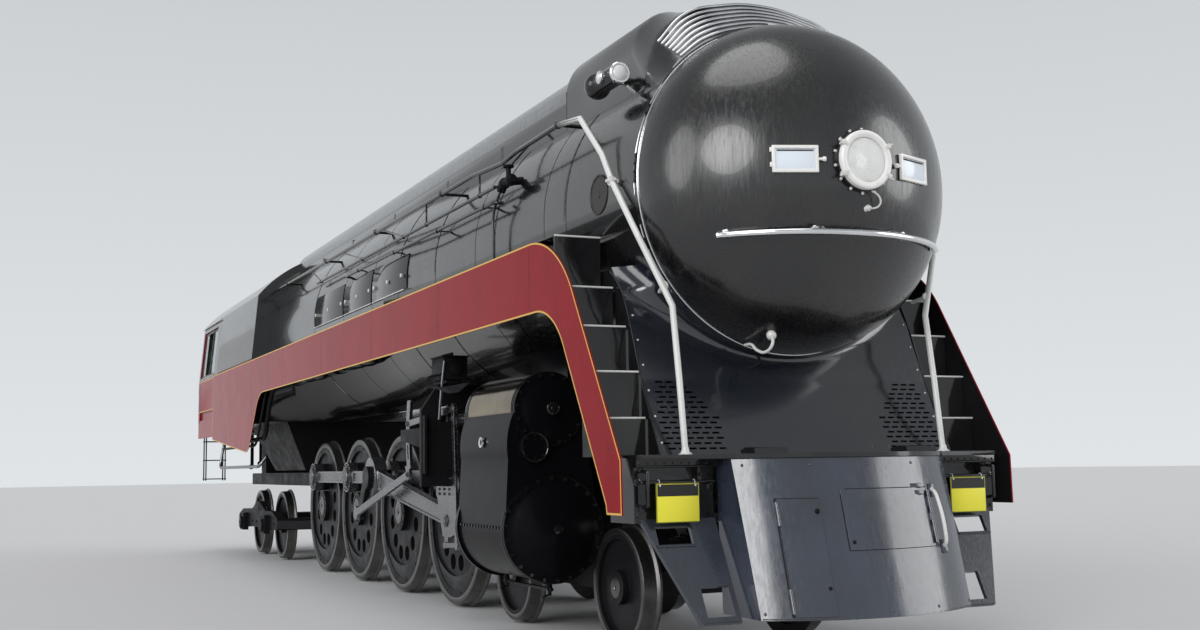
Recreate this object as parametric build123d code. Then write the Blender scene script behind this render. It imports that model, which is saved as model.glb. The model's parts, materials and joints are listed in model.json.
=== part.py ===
from build123d import *
import math
import os

# Full-size streamlined 4-8-4 steam locomotive, without its tender. Millimetres.
# +X points forward, +Z up, and the locomotive's right side is -Y.
# Z = 0 is the underside of the wheel flanges, and the origin is under the middle of the whole.
# Stations along the locomotive are distances behind the front face of the pilot beam.

# Overall lengths
pilot_side = 200         # front corners of the pilot's top ahead of the beam face
pilot_bulge = 284        # its middle ahead of those corners
pilot_rake = 260         # its toe ahead of its top
front_reach = pilot_side + pilot_bulge + pilot_rake

# Wheels and axles
flange = 25.4            # flange depth, so the rail head is this far above Z = 0
wheel_gauge = 1355       # between the backs of two wheels on an axle
tyre_width = 140
driver_r = 889
lead_r = 457
trail_r = 533
axle_r = 140             # driving axles
small_axle_r = 85        # truck axles
axle_play = 6            # running room round an axle in its frame
driver_pitch = 1905
driver_rim = 150
driver_web = 76          # thickness of the disc
driver_hub_r = 210
hub_out = 172            # hub faces outside the backs of the wheels
pin_boss_r = 185
disc_places = 12         # places for the round openings in a driving wheel
disc_hole_at = 480
disc_hole_r = 82
shoe_gap = 8             # between a brake shoe and its tyre
shoe_t = 50
leaf_t = 22              # spring leaves
leaf_pitch = 26
main_back = 7465         # station of the main driving axle, the second one
lead_back = 2750         # station of the leading truck's centre
lead_base = 2235
pivot_gap = 1225         # pivot of the trailing truck behind the last driving axle
pivot_back = main_back + 2 * driver_pitch + pivot_gap
trail_arm = 2635         # from that pivot to halfway between the trailing axles
trail_back = pivot_back + trail_arm
trail_base = 1830
cab_overhang = 2965      # rear of the cab behind the middle of the trailing axles
rear_reach = trail_back + cab_overhang
beam_x = (rear_reach - front_reach) / 2
lead_pivot_r = 100
trail_pivot_r = 90

# Rods and crank pins
crank = 406.4            # crank radius, half the stroke
pin_r = 90
pin_play = 0.1
side_rod_y = 925         # centre of the side rods from the middle
side_rod_t = 120
cylinder_y = 1120        # centre of the cylinders and main rods
main_rod_t = 150
face_play = 0.3          # between flat faces that turn on each other
main_rod_length = 2900
eye_r = 235              # big end
main_rod_web = 90
rod_web_t = 80           # side rods between their eyes
side_rod_half = 75
side_eye_r = 190
flute_depth = 16         # hollows in the faces of the rods
flute_edge = 24
bearing_cap_r = 130
bearing_cap_t = 16
eye_growth = 1.4         # eyes of the thin levers against their half width
small_eye_r = 130
wrist_r = 60
ecc_r = 290              # eccentric pin from the axle centre
ecc_crank_t = 50
ecc_rod_t = 40

# Cylinders and guides
cylinder_r = 430
cylinder_length = 1180
valve_r = 300
valve_y = 1150
valve_gland = 80
valve_rod_r = 32
end_flange_t = 45
valve_rise = 960         # valve chest centre above the cylinder centre
piston_rod_r = 55
link_back = 5650
link_foot = 440          # lower end of the link above the axles
link_pivot = 390         # its trunnion above that
link_height = 760
lever_back = 4200        # combination lever
union_length = 480
union_t = 22
yoke_back = 4480         # front of the guide yoke, between the leading truck and the drivers
yoke_t = 60
yoke_half = 1500
guide_end = 5420
guide_half = 85
guide_drop = 330         # underside of the guides above the axles
crosshead_half = 100

# Frame bed
frame_y = 540            # centre of a side frame from the middle
frame_t = 140
frame_top = 1380
frame_bottom = 600
front_frame_bottom = 1010
rear_frame_bottom = 1180
frame_end = rear_reach - 200
drawbar_back = frame_end - 140
drawbar_r = 50           # hole for the drawbar pin

# Front end
deck_z = 1476
beam_half = 1463
beam_depth = 440
beam_length = 360
step_lean = 0.5          # slope of the step plates, forwards as they go down
step_bottom = 410
step_plate_t = 30
pilot_half = 854         # half width of the pilot's top
pilot_toe_half = 826
pilot_bottom = 430
lip = 30                 # thickness of the deck's edge over the pilot
pilot_sheet = 14
panel = 8                # thickness of the two hinged panels on the pilot
panel_pin_r = 6
panel_pin_out = 20       # hinge pins ahead of the pilot's face
panel_knuckle_r = 11
sheet = 12               # thickness of the casing sheets

# Hinged panels on the pilot: y of the hinge and of the free edge, lower and upper heights
panels = {
    "pilot_hatch": (-655, -390, 450, 1180),
    "coupler_cover": (500, -235, 850, 1235),
}

# Boiler and casings
boiler_z = 3390
nose_r = 1205
nose_back = 382          # joint ring of the nose behind the beam face
nose_length = 960
nose_ring = 40
knuckle_r = 702
headlight_front = 628    # face of the headlight ahead of the beam face
headlight_rise = 19      # above the boiler's centre line
board_front = 486        # middles of the number boards
board_y = 481
board_rise = 13
board_turn = 34          # degrees outwards
lamp_lens = 843          # stations of the class lamps' lenses and tails
lamp_tail = 1345
lamp_y = 1100
lamp_z = 4290
lamp_r = 78
slot_rows = 12           # vent slots in the apron
slot_pitch = 36
slot_length = 62
slot_height = 15
barrel_r = 1275
taper_start = 4900
taper_end = 6600
casing_top = 4900
casing_foot = 500        # foot of the casing above the boiler's centre, inside the jacket
hood_end = 2300
stack_back = 1900
stack_r = 290
lid_backs = (5000, 5700)  # sand box lids
safety_back = 11600      # safety valves
rear_casing_drop = 90    # the long rear part below the hood
rear_casing_half = 850
casing_corner = 400
board_z = 3080           # top of the running boards and of the side skirts
board_t = 24
skirt_y = 1590           # outer face of the side skirts
skirt_bottom = 2547
deep_skirt_bottom = 1686
skirt_rear_bottom = 1970
throat = 350             # front of the firebox casing behind the truck's pivot
firebox_back = pivot_back + throat
cab_length = 2000
backhead_t = 260
cab_back = rear_reach - cab_length
side_y = 1574            # outer face of the cab sides below the windows
eaves_y = 1480           # the same at the eaves, since the sides lean in
wall_t = 40
eaves_z = 4080
roof_z = 4790
cab_floor_z = 2150
skirt_back = cab_back + 270
step_back = pivot_back - 350  # where the skirts start down to their deeper part
deep_back = pivot_back + 480
window_front = cab_back + 380
window_back = rear_reach - 110
seat_back = cab_back + 1250
window_low = 3110
window_high = 3960

# Hood over the front: station, half width of the sides and their height as a part of the whole,
# the same two for the crown's edge, height of the middle, and the bulge of the shoulder
hood = (
    (400, 975, 0.229, 620, 0.550, 0.708, 24),
    (690, 970, 0.287, 640, 0.856, 0.995, 80),
    (1050, 900, 0.604, 500, 0.990, 1.0, 117),
    (hood_end, 900, 0.604, 500, 0.990, 1.0, 117),
)

# Handrails: station, distance from the middle and height of each bend
rail_y = 1250
rail_r = 20
rail_course = ((37, 1060, 1476), (100, 1060, 1975), (176, 1060, 2485), (290, rail_y, 2965), (700, rail_y, 3435),
               (860, rail_y, 3665), (1240, rail_y, 4025), (1670, rail_y, 4078), (2580, rail_y, 4062),
               (2900, rail_y, 4034), (3700, rail_y, 4080), (firebox_back - 1, rail_y, 4130))
low_rail_course = ((3100, rail_y, 3860), (9900, rail_y, 3890))
rungs = ((3500, 3500), (5100, 5100), (6800, 5900), (8600, 7600), (10300, 9700))
standoffs = (1670, 4600, 7000, 9400, 11800)


def st(distance):
    """X of a station behind the beam face."""
    return beam_x - distance


def block(x0, x1, y0, y1, z0, z1):
    return Pos((x0 + x1) / 2, (y0 + y1) / 2, (z0 + z1) / 2) * Box(abs(x1 - x0), abs(y1 - y0), abs(z1 - z0))


def rod_x(x0, x1, y, z, r):
    return Pos((x0 + x1) / 2, y, z) * Rot(0, 90, 0) * Cylinder(r, abs(x1 - x0))


def rod_y(x, z, y0, y1, r):
    return Pos(x, (y0 + y1) / 2, z) * Rot(90, 0, 0) * Cylinder(r, abs(y1 - y0))


def rod_z(x, y, z0, z1, r):
    return Pos(x, y, (z0 + z1) / 2) * Cylinder(r, abs(z1 - z0))


def side_plate(points, y0, y1):
    """Plate with its outline in X and Z, from y0 to y1."""
    low, high = sorted((y0, y1))
    face = make_face(Plane.XZ.offset(-high) * Polyline(*points, close=True))
    return extrude(face, high - low, dir=(0, -1, 0))


def cross_plate(points, x0, x1):
    """Plate with its outline in Y and Z, from x0 to x1."""
    low, high = sorted((x0, x1))
    face = make_face(Plane.YZ.offset(low) * Polyline(*points, close=True))
    return extrude(face, high - low, dir=(1, 0, 0))


def wheel(x, r, side, hub_r, hub_out, rim, web_t):
    """One wheel with its flange, on the side given as -1 or 1."""
    back = wheel_gauge / 2
    out = back + tyre_width
    inner = r - rim
    web0 = back + (tyre_width - web_t) / 2
    web1 = web0 + web_t
    section = [(back - 8, 0), (back - 8, hub_r), (web0, hub_r), (web0, inner), (back, inner),
               (back, r + flange), (back + 20, r + flange), (back + 34, r), (out, r - 5),
               (out, inner), (web1, inner), (web1, hub_r), (back + hub_out, hub_r), (back + hub_out, 0)]
    z = flange + r
    points = [(x, side * y, z + rad) for y, rad in section]
    face = make_face(Polyline(*points, close=True))
    return revolve(face, Axis((x, 0, z), (0, 1, 0)), 360)


def turned_x(rows, x, y, z):
    """Solid turned about an axis along X: rows give the distance ahead of x and the radius."""
    face = make_face(Polyline(*[(x + along, y, z + r) for along, r in rows], close=True))
    return revolve(face, Axis((x, y, z), (1, 0, 0)), 360)


def dome_x(x, y, z, r, rise):
    """Domed cap of radius r on the plane at x, standing out ahead of it."""
    ball = (r ** 2 + rise ** 2) / (2 * rise)
    half = math.asin(r / ball) / 2
    middle = (x + rise - ball + ball * math.cos(half), y, z + ball * math.sin(half))
    outline = [Line((x, y, z), (x, y, z + r)), ThreePointArc((x, y, z + r), middle, (x + rise, y, z)),
               Line((x + rise, y, z), (x, y, z))]
    return revolve(make_face(outline), Axis((x, y, z), (1, 0, 0)), 360)


def bar(points, r):
    """Round bar along a line of points, rounded at each bend."""
    piece = None
    for a, b in zip(points[:-1], points[1:]):
        along = Vector(*b) - Vector(*a)
        rod = Plane(origin=a, z_dir=along.normalized()) * Pos(0, 0, along.length / 2) * Cylinder(r, along.length)
        piece = rod if piece is None else piece + rod
    for point in points[1:-1]:
        piece += Pos(*point) * Sphere(r)
    return piece


def link_plate(a, b, half_a, half_b, y0, y1):
    """Flat bar between two points in X and Z with a round eye at each end."""
    (ax, az), (bx, bz) = a, b
    n = math.hypot(bx - ax, bz - az)
    nx, nz = -(bz - az) / n, (bx - ax) / n
    plate = side_plate([(ax + nx * half_a, az + nz * half_a), (bx + nx * half_b, bz + nz * half_b),
                        (bx - nx * half_b, bz - nz * half_b), (ax - nx * half_a, az - nz * half_a)], y0, y1)
    return plate + rod_y(ax, az, y0, y1, half_a * eye_growth) + rod_y(bx, bz, y0, y1, half_b * eye_growth)


def pin_at(side):
    """Crank pin from the axle centre: right pins up, left pins to the rear."""
    return (0, crank) if side < 0 else (-crank, 0)


def ecc_at(side):
    """Eccentric pin from the axle centre, a quarter turn behind the crank pin."""
    return (-ecc_r, 0) if side < 0 else (0, -ecc_r)


def driver(x, main):
    z = flange + driver_r
    back = wheel_gauge / 2
    set_ = rod_y(x, z, -back, back, axle_r)
    for side in (-1, 1):
        px, pz = pin_at(side)
        face_y = back + hub_out
        holes = []
        for k in range(disc_places):
            turn = 2 * math.pi * (k + 0.5) / disc_places
            hx, hz = disc_hole_at * math.cos(turn), disc_hole_at * math.sin(turn)
            # no opening where the crank pin's boss is
            if math.hypot(hx - px, hz - pz) > pin_boss_r + disc_hole_r + 15:
                holes.append(rod_y(x + hx, z + hz, side * (back - 20), side * (back + tyre_width + 20), disc_hole_r))
        set_ += wheel(x, driver_r, side, driver_hub_r, hub_out, driver_rim, driver_web) - holes
        set_ += rod_y(x + px, z + pz, side * (back + 20), side * face_y, pin_boss_r)
        pin_end = side_rod_y + side_rod_t / 2 - face_play
        if main:
            pin_end = cylinder_y - main_rod_t / 2 - face_play
        set_ += rod_y(x + px, z + pz, side * (face_y - 20), side * pin_end, pin_r)
        balance = rod_y(x, z, side * (back + 8), side * (back + tyre_width - 8), driver_r - driver_rim + 10)
        balance -= rod_y(x + px, z + pz, side * (back - 80), side * (back + tyre_width + 80), driver_r + 120)
        set_ += balance
    if main:
        for side in (-1, 1):
            px, pz = pin_at(side)
            ex, ez = ecc_at(side)
            y0 = side * (cylinder_y + main_rod_t / 2 + face_play)
            y1 = y0 + side * ecc_crank_t
            arm = rod_y(x + px, z + pz, y0, y1, 130) + rod_y(x + ex, z + ez, y0, y1, 75)
            ux, uz = (ex - px), (ez - pz)
            n = math.hypot(ux, uz)
            nx, nz = -uz / n, ux / n
            ends = [(px + nx * 85, pz + nz * 85), (ex + nx * 60, ez + nz * 60),
                    (ex - nx * 60, ez - nz * 60), (px - nx * 85, pz - nz * 85)]
            arm += side_plate([(x + a, z + b) for a, b in ends], y0, y1)
            set_ += arm
    return set_


def side_rod(side):
    px, pz = pin_at(side)
    z = flange + driver_r + pz
    y0 = side * (side_rod_y - side_rod_t / 2)
    y1 = side * (side_rod_y + side_rod_t / 2)
    thin0 = side * (side_rod_y - rod_web_t / 2)
    thin1 = side * (side_rod_y + rod_web_t / 2)
    centres = [main_back + driver_pitch * i for i in (-1, 0, 1, 2)]
    rod = side_plate([(st(centres[0]) + px, z + side_rod_half), (st(centres[0]) + px, z - side_rod_half),
                      (st(centres[3]) + px, z - side_rod_half), (st(centres[3]) + px, z + side_rod_half)], thin0, thin1)
    # a long hollow in both faces of each length leaves an I section
    for front, back in zip(centres[:-1], centres[1:]):
        for face in (thin0, thin1):
            rod -= block(st(back - side_eye_r - 60) + px, st(front + side_eye_r + 60) + px, face - flute_depth,
                         face + flute_depth, z - side_rod_half + flute_edge, z + side_rod_half - flute_edge)
    for i, c in enumerate(centres):
        rod += rod_y(st(c) + px, z, y0, y1, side_eye_r)
        # closed bearing caps, but none where the main rod's pin passes
        if i != 1:
            rod += rod_y(st(c) + px, z, y1, y1 + side * bearing_cap_t, bearing_cap_r)
    for i, c in enumerate(centres):
        far = y1 + side * 5 if i == 1 else y1
        rod -= rod_y(st(c) + px, z, y0 - side * 5, far, pin_r + pin_play)
    return rod


def wrist_back(side):
    """Station of the wrist pin at rest."""
    px, pz = pin_at(side)
    return main_back - px - math.sqrt(main_rod_length ** 2 - pz ** 2)


def main_rod(side):
    px, pz = pin_at(side)
    z = flange + driver_r
    bx, bz = st(main_back) + px, z + pz
    wx, wz = st(wrist_back(side)), z
    ux, uz = (bx - wx) / main_rod_length, (bz - wz) / main_rod_length
    nx, nz = -uz, ux
    y0 = side * (cylinder_y - main_rod_t / 2)
    y1 = side * (cylinder_y + main_rod_t / 2)
    thin0 = side * (cylinder_y - 45)
    thin1 = side * (cylinder_y + 45)
    beam = side_plate([(bx + nx * 110, bz + nz * 110), (wx + nx * 80, wz + nz * 80),
                       (wx - nx * 80, wz - nz * 80), (bx - nx * 110, bz - nz * 110)], thin0, thin1)
    # the hollow in both faces starts clear of the eyes
    front, rear = small_eye_r + 70, main_rod_length - eye_r - 70
    ends = [(wx + ux * front, wz + uz * front, 80 - flute_edge), (wx + ux * rear, wz + uz * rear, 105 - flute_edge)]
    (ax, az, a_half), (cx, cz, c_half) = ends
    hollow = [(ax + nx * a_half, az + nz * a_half), (cx + nx * c_half, cz + nz * c_half),
              (cx - nx * c_half, cz - nz * c_half), (ax - nx * a_half, az - nz * a_half)]
    for face in (thin0, thin1):
        beam -= side_plate(hollow, face - flute_depth, face + flute_depth)
    rod = beam + rod_y(bx, bz, y0, y1, eye_r) + rod_y(wx, wz, thin0, thin1, small_eye_r)
    rod -= rod_y(wx, wz, thin0 - side * 5, thin1 + side * 5, wrist_r + pin_play)
    return rod


def crosshead(side):
    """Crosshead hooked round its guide, with its piston rod and the link to the combination lever."""
    z = flange + driver_r
    wx = st(wrist_back(side))
    y = side * cylinder_y
    half = crosshead_half
    body = block(wx - 300, wx + 300, y - half, y + half, z + 230, z + guide_drop - 5)
    for face in (-1, 1):
        ledge = sorted((y + face * (guide_half + 2 * face_play), y + face * half))
        body += block(wx - 300, wx + 300, *ledge, z + guide_drop - 5, z + guide_drop + 70)
        cheek = [(wx - 280, z + 230), (wx + 300, z + 230), (wx + 300, z - 110), (wx + 130, z - 150), (wx - 110, z - 150)]
        body += side_plate(cheek, y + face * (main_rod_web / 2 + 7), y + face * half)
    body += block(wx + 170, wx + 350, y - half, y + half, z - 120, z + 120)
    body += rod_x(wx + 340, wx + 430, y, z, 95)
    body += rod_y(wx, z, y - half, y + half, wrist_r)
    body += rod_x(wx + 340, wx + 1620, y, z, piston_rod_r)
    outer = side * (cylinder_y + half)
    arm_end = z - 230
    body += side_plate([(wx - 70, z - 110), (wx + 70, z - 110), (wx + 35, arm_end - 30), (wx - 35, arm_end - 30)],
                       outer - side * 45, outer)
    body += link_plate((wx, arm_end), (wx + union_length, arm_end + 20), 22, 22, outer, outer + side * union_t)
    return body


def link_outer():
    """Distance of the outer faces of the eccentric rod, link and levers from the middle."""
    return cylinder_y + main_rod_t / 2 + 2 * face_play + ecc_crank_t + ecc_rod_t


def guides(side):
    """Guide over the crosshead, the yoke that holds it, and the brackets of the link and valve rod."""
    z = flange + driver_r
    y = side * cylinder_y
    valve_z = z + valve_rise
    rear_head = st(lead_back + cylinder_length / 2)
    yoke_rear = st(yoke_back + yoke_t)
    inner = side * (frame_y + frame_t / 2 + face_play)
    yoke = [(inner, z + guide_drop), (side * yoke_half, z + guide_drop), (side * yoke_half, z + 1050),
            (side * (yoke_half - 170), z + 1300), (side * 760, z + 1300), (inner, z + 460)]
    piece = cross_plate(yoke, yoke_rear, st(yoke_back))
    # room for the crosshead's ledges and for the radius rod
    piece -= block(yoke_rear - 1, st(yoke_back) + 1, y - crosshead_half - 6, y + crosshead_half + 6, z, z + guide_drop + 76)
    piece -= block(yoke_rear - 1, st(yoke_back) + 1, side * 1236, side * 1300, valve_z - 20, valve_z + 145)
    for edge in (yoke_half - 10, 980):
        rib = sorted((side * edge, side * (edge - 25)))
        piece += block(st(yoke_back) - 1, st(yoke_back) + 70, *rib, z + guide_drop + 120, z + 1000)
    piece += block(st(guide_end), rear_head - face_play, y - guide_half, y + guide_half, z + guide_drop, z + guide_drop + 90)
    piece += block(st(guide_end), rear_head - 300, y - 30, y + 30, z + guide_drop + 90, z + guide_drop + 150)
    piece += block(st(guide_end), st(yoke_back), y - 30, y + 30, z + guide_drop + 90, z + 620)
    arm_y = sorted((side * 1300, side * 1336))
    link_x, pivot_z = st(link_back), z + link_foot + link_pivot
    arm = [(yoke_rear + 1, pivot_z - 190), (yoke_rear + 1, pivot_z + 70), (link_x - 80, pivot_z + 70),
           (link_x - 80, pivot_z - 60), (link_x + 90, pivot_z - 60)]
    piece += side_plate(arm, *arm_y)
    gear_y = link_outer()
    piece += rod_y(link_x, pivot_z, side * (gear_y + face_play), side * 1310, 45)
    seat_y = sorted((side * (valve_y - 45), side * (valve_y + 45)))
    piece += block(st(yoke_back) - 1, st(lever_back) + 120, *seat_y, valve_z - 75, valve_z - 45 - face_play)
    return piece


def valve_gear(side):
    """Eccentric rod, slotted link, radius rod, combination lever and valve rod, in their place at rest."""
    z = flange + driver_r
    valve_z = z + valve_rise
    ex, ez = ecc_at(side)
    y1 = side * link_outer()
    y0 = y1 - side * ecc_rod_t
    out0 = y0 + side * 6
    ax, az = st(main_back) + ex, z + ez
    bx, bz = st(link_back), z + link_foot
    gear = link_plate((ax, az), (bx, bz), 40, 40, out0, y1) + rod_y(ax, az, y0, y1, 80)
    # the link is curved about the front end of the radius rod
    lever_x = st(lever_back)
    bend = link_back - lever_back
    centre_x, centre_z = bx + bend, bz + link_pivot
    ring = rod_y(centre_x, centre_z, out0, y1, bend + 55) - rod_y(centre_x, centre_z, out0 - side, y1 + side, bend - 55)
    link = ring & block(bx - 200, bx + 200, min(out0, y1) - 1, max(out0, y1) + 1, bz + 60, bz + link_height)
    slot = (rod_y(centre_x, centre_z, out0 - side, y1 + side, bend + 22)
            - rod_y(centre_x, centre_z, out0 - side, y1 + side, bend - 22))
    slot = slot & block(bx - 200, bx + 200, min(out0, y1) - 2, max(out0, y1) + 2, bz + 160, bz + link_pivot - 90)
    gear += link - slot
    gear += side_plate([(bx - 40, bz), (bx + 40, bz), (bx + 60, bz + 90), (bx - 90, bz + 90)], out0, y1)
    gear += link_plate((bx, bz + link_pivot + 130), (lever_x, valve_z + 90), 32, 28, out0, y1)
    # combination lever, hung so that its lower end meets the crosshead's link
    foot = (st(wrist_back(side)) + union_length, z - 210)
    reach = math.hypot(foot[0] - lever_x, foot[1] - valve_z)
    up = (lever_x - (foot[0] - lever_x) * 90 / reach, valve_z - (foot[1] - valve_z) * 90 / reach)
    gear += link_plate(up, foot, 40, 30, out0, y1)
    gear += rod_y(lever_x, valve_z, side * valve_y, y1, 30)
    chest_rear = st(lead_back + cylinder_length / 2) - valve_gland - face_play
    gear += rod_x(lever_x - 60, chest_rear, side * valve_y, valve_z, valve_rod_r)
    seat_y = sorted((side * (valve_y - 45), side * (valve_y + 45)))
    gear += block(lever_x - 90, lever_x + 90, *seat_y, valve_z - 45, valve_z + 45)
    return gear


def truck_axle(back, r, journal_end, axle_radius):
    x = st(back)
    z = flange + r
    piece = rod_y(x, z, -journal_end, journal_end, axle_radius)
    for side in (-1, 1):
        piece += wheel(x, r, side, 130, 158, 90, 60)
    return piece


def leaf_spring(x, y0, y1, z, length, leaves):
    """Stack of leaves, shorter towards the top, held by a buckle in the middle."""
    low, high = sorted((y0, y1))
    spring = block(x - 55, x + 55, low - 6, high + 6, z - 10, z + leaves * leaf_pitch + 14)
    for i in range(leaves):
        half = length / 2 * (1 - 0.8 * i / leaves)
        spring += block(x - half, x + half, low, high, z + i * leaf_pitch, z + i * leaf_pitch + leaf_t)
    return spring


def lead_truck():
    x = st(lead_back)
    z = flange + lead_r
    frame = None
    for side in (-1, 1):
        beam = side_plate([(x - 1330, z - 90), (x + 1330, z - 90), (x + 1330, z + 120), (x + 700, z + 210),
                           (x - 700, z + 210), (x - 1330, z + 120)], side * 430, side * 560)
        frame = beam if frame is None else frame + beam
        frame += leaf_spring(x, side * 450, side * 540, z + 210, 1200, 4)
    frame += block(x - 260, x + 260, -440, 440, z - 20, z + 210)
    for end in (-1, 1):
        frame += block(x + end * 1230, x + end * 1330, -440, 440, z - 60, z + 90)
    frame += rod_z(x, 0, z + 200, z + 760, lead_pivot_r)
    for end in (-1, 1):
        frame -= rod_y(x + end * lead_base / 2, z, -600, 600, small_axle_r + pin_play)
    return frame


def trail_truck():
    x = st(trail_back)
    z = flange + trail_r
    px = st(pivot_back)
    frame = block(x - 130, x + 130, -980, 980, z - 20, z + 160)
    frame += block(x - 1640, x - 1530, -1040, 1040, z - 60, z + 120)
    frame += block(x + 1530, x + 1640, -1040, 1040, z - 60, z + 120)
    for side in (-1, 1):
        frame += side_plate([(x - 1640, z - 60), (x + 1640, z - 60), (x + 1640, z + 120), (x + 1250, z + 220),
                             (x - 1250, z + 220), (x - 1640, z + 120)], side * 900, side * 1040)
        frame += leaf_spring(x, side * 920, side * 1020, z + 220, 1100, 5)
        for end in (-1, 1):
            # journal box outside the frame, with its round lid
            box_x = x + end * trail_base / 2
            box_y = sorted((side * 1035, side * 1120))
            frame += block(box_x - 150, box_x + 150, *box_y, z - 130, z + 160)
            frame += rod_y(box_x, z, side * 1110, side * 1145, 105)
    arm = [(px + 130, 130), (px - 200, 0), (x + 1530, 760), (x + 1560, 1040), (x + 1640, 1040)]
    for mirror in (-1, 1):
        plan = Polyline(*[(a, mirror * b) for a, b in arm], close=True)
        frame += extrude(make_face(Plane.XY.offset(z - 40) * plan), 130, dir=(0, 0, 1))
    frame += block(px - 200, px + 130, -130, 130, z - 40, z + 90)
    frame += rod_z(px, 0, z + 80, z + 700, trail_pivot_r)
    for end in (-1, 1):
        frame -= rod_y(x + end * trail_base / 2, z, -1100, 1100, small_axle_r + pin_play)
    return frame


def brake(back, side):
    """Shoe ahead of a driving wheel, its hanger, and the pin that carries it on the frame."""
    x, z = st(back), flange + driver_r
    inner, outer = driver_r + shoe_gap, driver_r + shoe_gap + shoe_t
    y0, y1 = side * (wheel_gauge / 2 + 40), side * (wheel_gauge / 2 + tyre_width - 10)
    shoe = rod_y(x, z, y0, y1, outer) - rod_y(x, z, y0 - side, y1 + side, inner)
    shoe = shoe & block(x + 700, x + 1100, min(y0, y1) - 1, max(y0, y1) + 1, z - 230, z + 230)
    hanger_y = sorted((y0 + side * 20, y0 + side * 65))
    shoe += block(x + outer - 8, x + outer + 26, *hanger_y, z - 60, frame_top - 20)
    return shoe + rod_y(x + outer + 9, frame_top - 60, side * (frame_y + frame_t / 2 - 5), y0 + side * 80, 28)


def frame_side(side):
    """One side of the frame, with the openings for the driving axles and the brakes that it carries."""
    front = beam_length + face_play
    outline = [(st(front), frame_top), (st(front), front_frame_bottom), (st(4480), front_frame_bottom),
               (st(4620), frame_bottom), (st(pivot_back - 350), frame_bottom),
               (st(pivot_back - 200), rear_frame_bottom), (st(frame_end), rear_frame_bottom), (st(frame_end), frame_top)]
    plate = side_plate(outline, side * (frame_y - frame_t / 2), side * (frame_y + frame_t / 2))
    for i in (-1, 0, 1, 2):
        plate -= rod_y(st(main_back + i * driver_pitch), flange + driver_r, -700, 700, axle_r + axle_play)
        plate += brake(main_back + i * driver_pitch, side)
    return plate


def frame_bed():
    """Cross members between the two frame sides."""
    inside = frame_y - frame_t / 2
    # cross members: each row gives the stations of its front and back and its bottom
    members = ((beam_length + face_play, 620, 1100), (2450, 3050, 1100), (6350, 6550, 900), (8300, 8520, 900),
               (10220, 10420, 900), (pivot_back - 300, pivot_back + 200, rear_frame_bottom),
               (frame_end - 400, frame_end, rear_frame_bottom + 20))
    bed = None
    for front, back, bottom in members:
        member = block(st(back), st(front), -inside, inside, bottom, frame_top)
        bed = member if bed is None else bed + member
    bed += block(st(frame_end + 100), st(frame_end - 10), -260, 260, rear_frame_bottom + 20, frame_top)
    bed -= rod_z(st(drawbar_back), 0, 1100, 1500, drawbar_r)
    bed -= rod_z(st(lead_back), 0, 1000, 1260, lead_pivot_r + pin_play)
    bed -= rod_z(st(pivot_back), 0, 1100, 1275, trail_pivot_r + pin_play)
    return bed


def jacket_face(side, x):
    """Section of the cover that wraps a cylinder and the valve chest above it."""
    z = flange + driver_r
    y, r = cylinder_y, cylinder_r - 20
    valve_z, chest = z + valve_rise, valve_r - 15
    bend = math.sqrt(0.5) * r
    points = {"foot": (y, z - r), "low": (y + bend, z - bend), "side": (y + r, z), "waist": (y + r - 30, z + 560),
              "shoulder": (valve_y + chest * 0.95, valve_z + 30), "top": (valve_y, valve_z + chest),
              "in_top": (valve_y - chest * 0.8, valve_z + chest * 0.6), "in_mid": (valve_y - chest, valve_z),
              "in_low": (y - r, z + 60), "in_foot": (y - bend, z - bend)}
    at = {key: (x, side * a, b) for key, (a, b) in points.items()}
    return make_face([ThreePointArc(at["foot"], at["low"], at["side"]), Line(at["side"], at["waist"]),
                      ThreePointArc(at["waist"], at["shoulder"], at["top"]), Line(at["top"], at["in_top"]),
                      Line(at["in_top"], at["in_mid"]), Line(at["in_mid"], at["in_low"]),
                      Line(at["in_low"], at["in_foot"]), Line(at["in_foot"], at["foot"])])


def cylinder_block():
    """Cylinders and valve chests with their end flanges, domed covers and jackets, and the saddle between them."""
    z = flange + driver_r
    valve_z = z + valve_rise
    x0 = st(lead_back + cylinder_length / 2)
    x1 = st(lead_back - cylinder_length / 2)
    piece = None
    for side in (-1, 1):
        y, chest_y = side * cylinder_y, side * valve_y
        part = extrude(jacket_face(side, x0 + 20), cylinder_length - 40, dir=(1, 0, 0))
        for end in (x0, x1 - end_flange_t):
            part += rod_x(end, end + end_flange_t, y, z, cylinder_r)
            part += rod_x(end, end + end_flange_t, chest_y, valve_z, valve_r)
        part += dome_x(x1, y, z, cylinder_r - 55, 95)
        part += dome_x(x1, chest_y, valve_z, valve_r - 45, 40) + rod_x(x1 + 20, x1 + 75, chest_y, valve_z, 48)
        part += rod_x(x1 - 60, x1 + 22, side * 1287, z + 655, 120)
        part += rod_x(x0 - 130, x0 + 1, y, z, 150) + rod_x(x0 - valve_gland, x0 + 1, chest_y, valve_z, 110)
        for cock in (x0 + 110, x1 - 110):
            part += rod_z(cock, y, z - cylinder_r - 55, z - cylinder_r + 40, 22)
        part += rod_x(x0 + 60, x1 - 60, y, z - cylinder_r - 45, 14)
        piece = part if piece is None else piece + part
    saddle = block(x0 + 200, x1 - 200, -900, 900, frame_top, boiler_z - nose_r * 0.82)
    saddle -= rod_x(x0 - 200, x1 + 200, 0, boiler_z, nose_r + face_play)
    piece += saddle
    for side in (-1, 1):
        piece -= rod_x(x0 - 200, x0 + 1000, side * cylinder_y, z, piston_rod_r + 2)
        piece -= block(x0 - 400, x1 + 400, side * 400, side * (frame_y + frame_t / 2 + face_play), 900, frame_top + face_play)
    return piece


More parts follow.
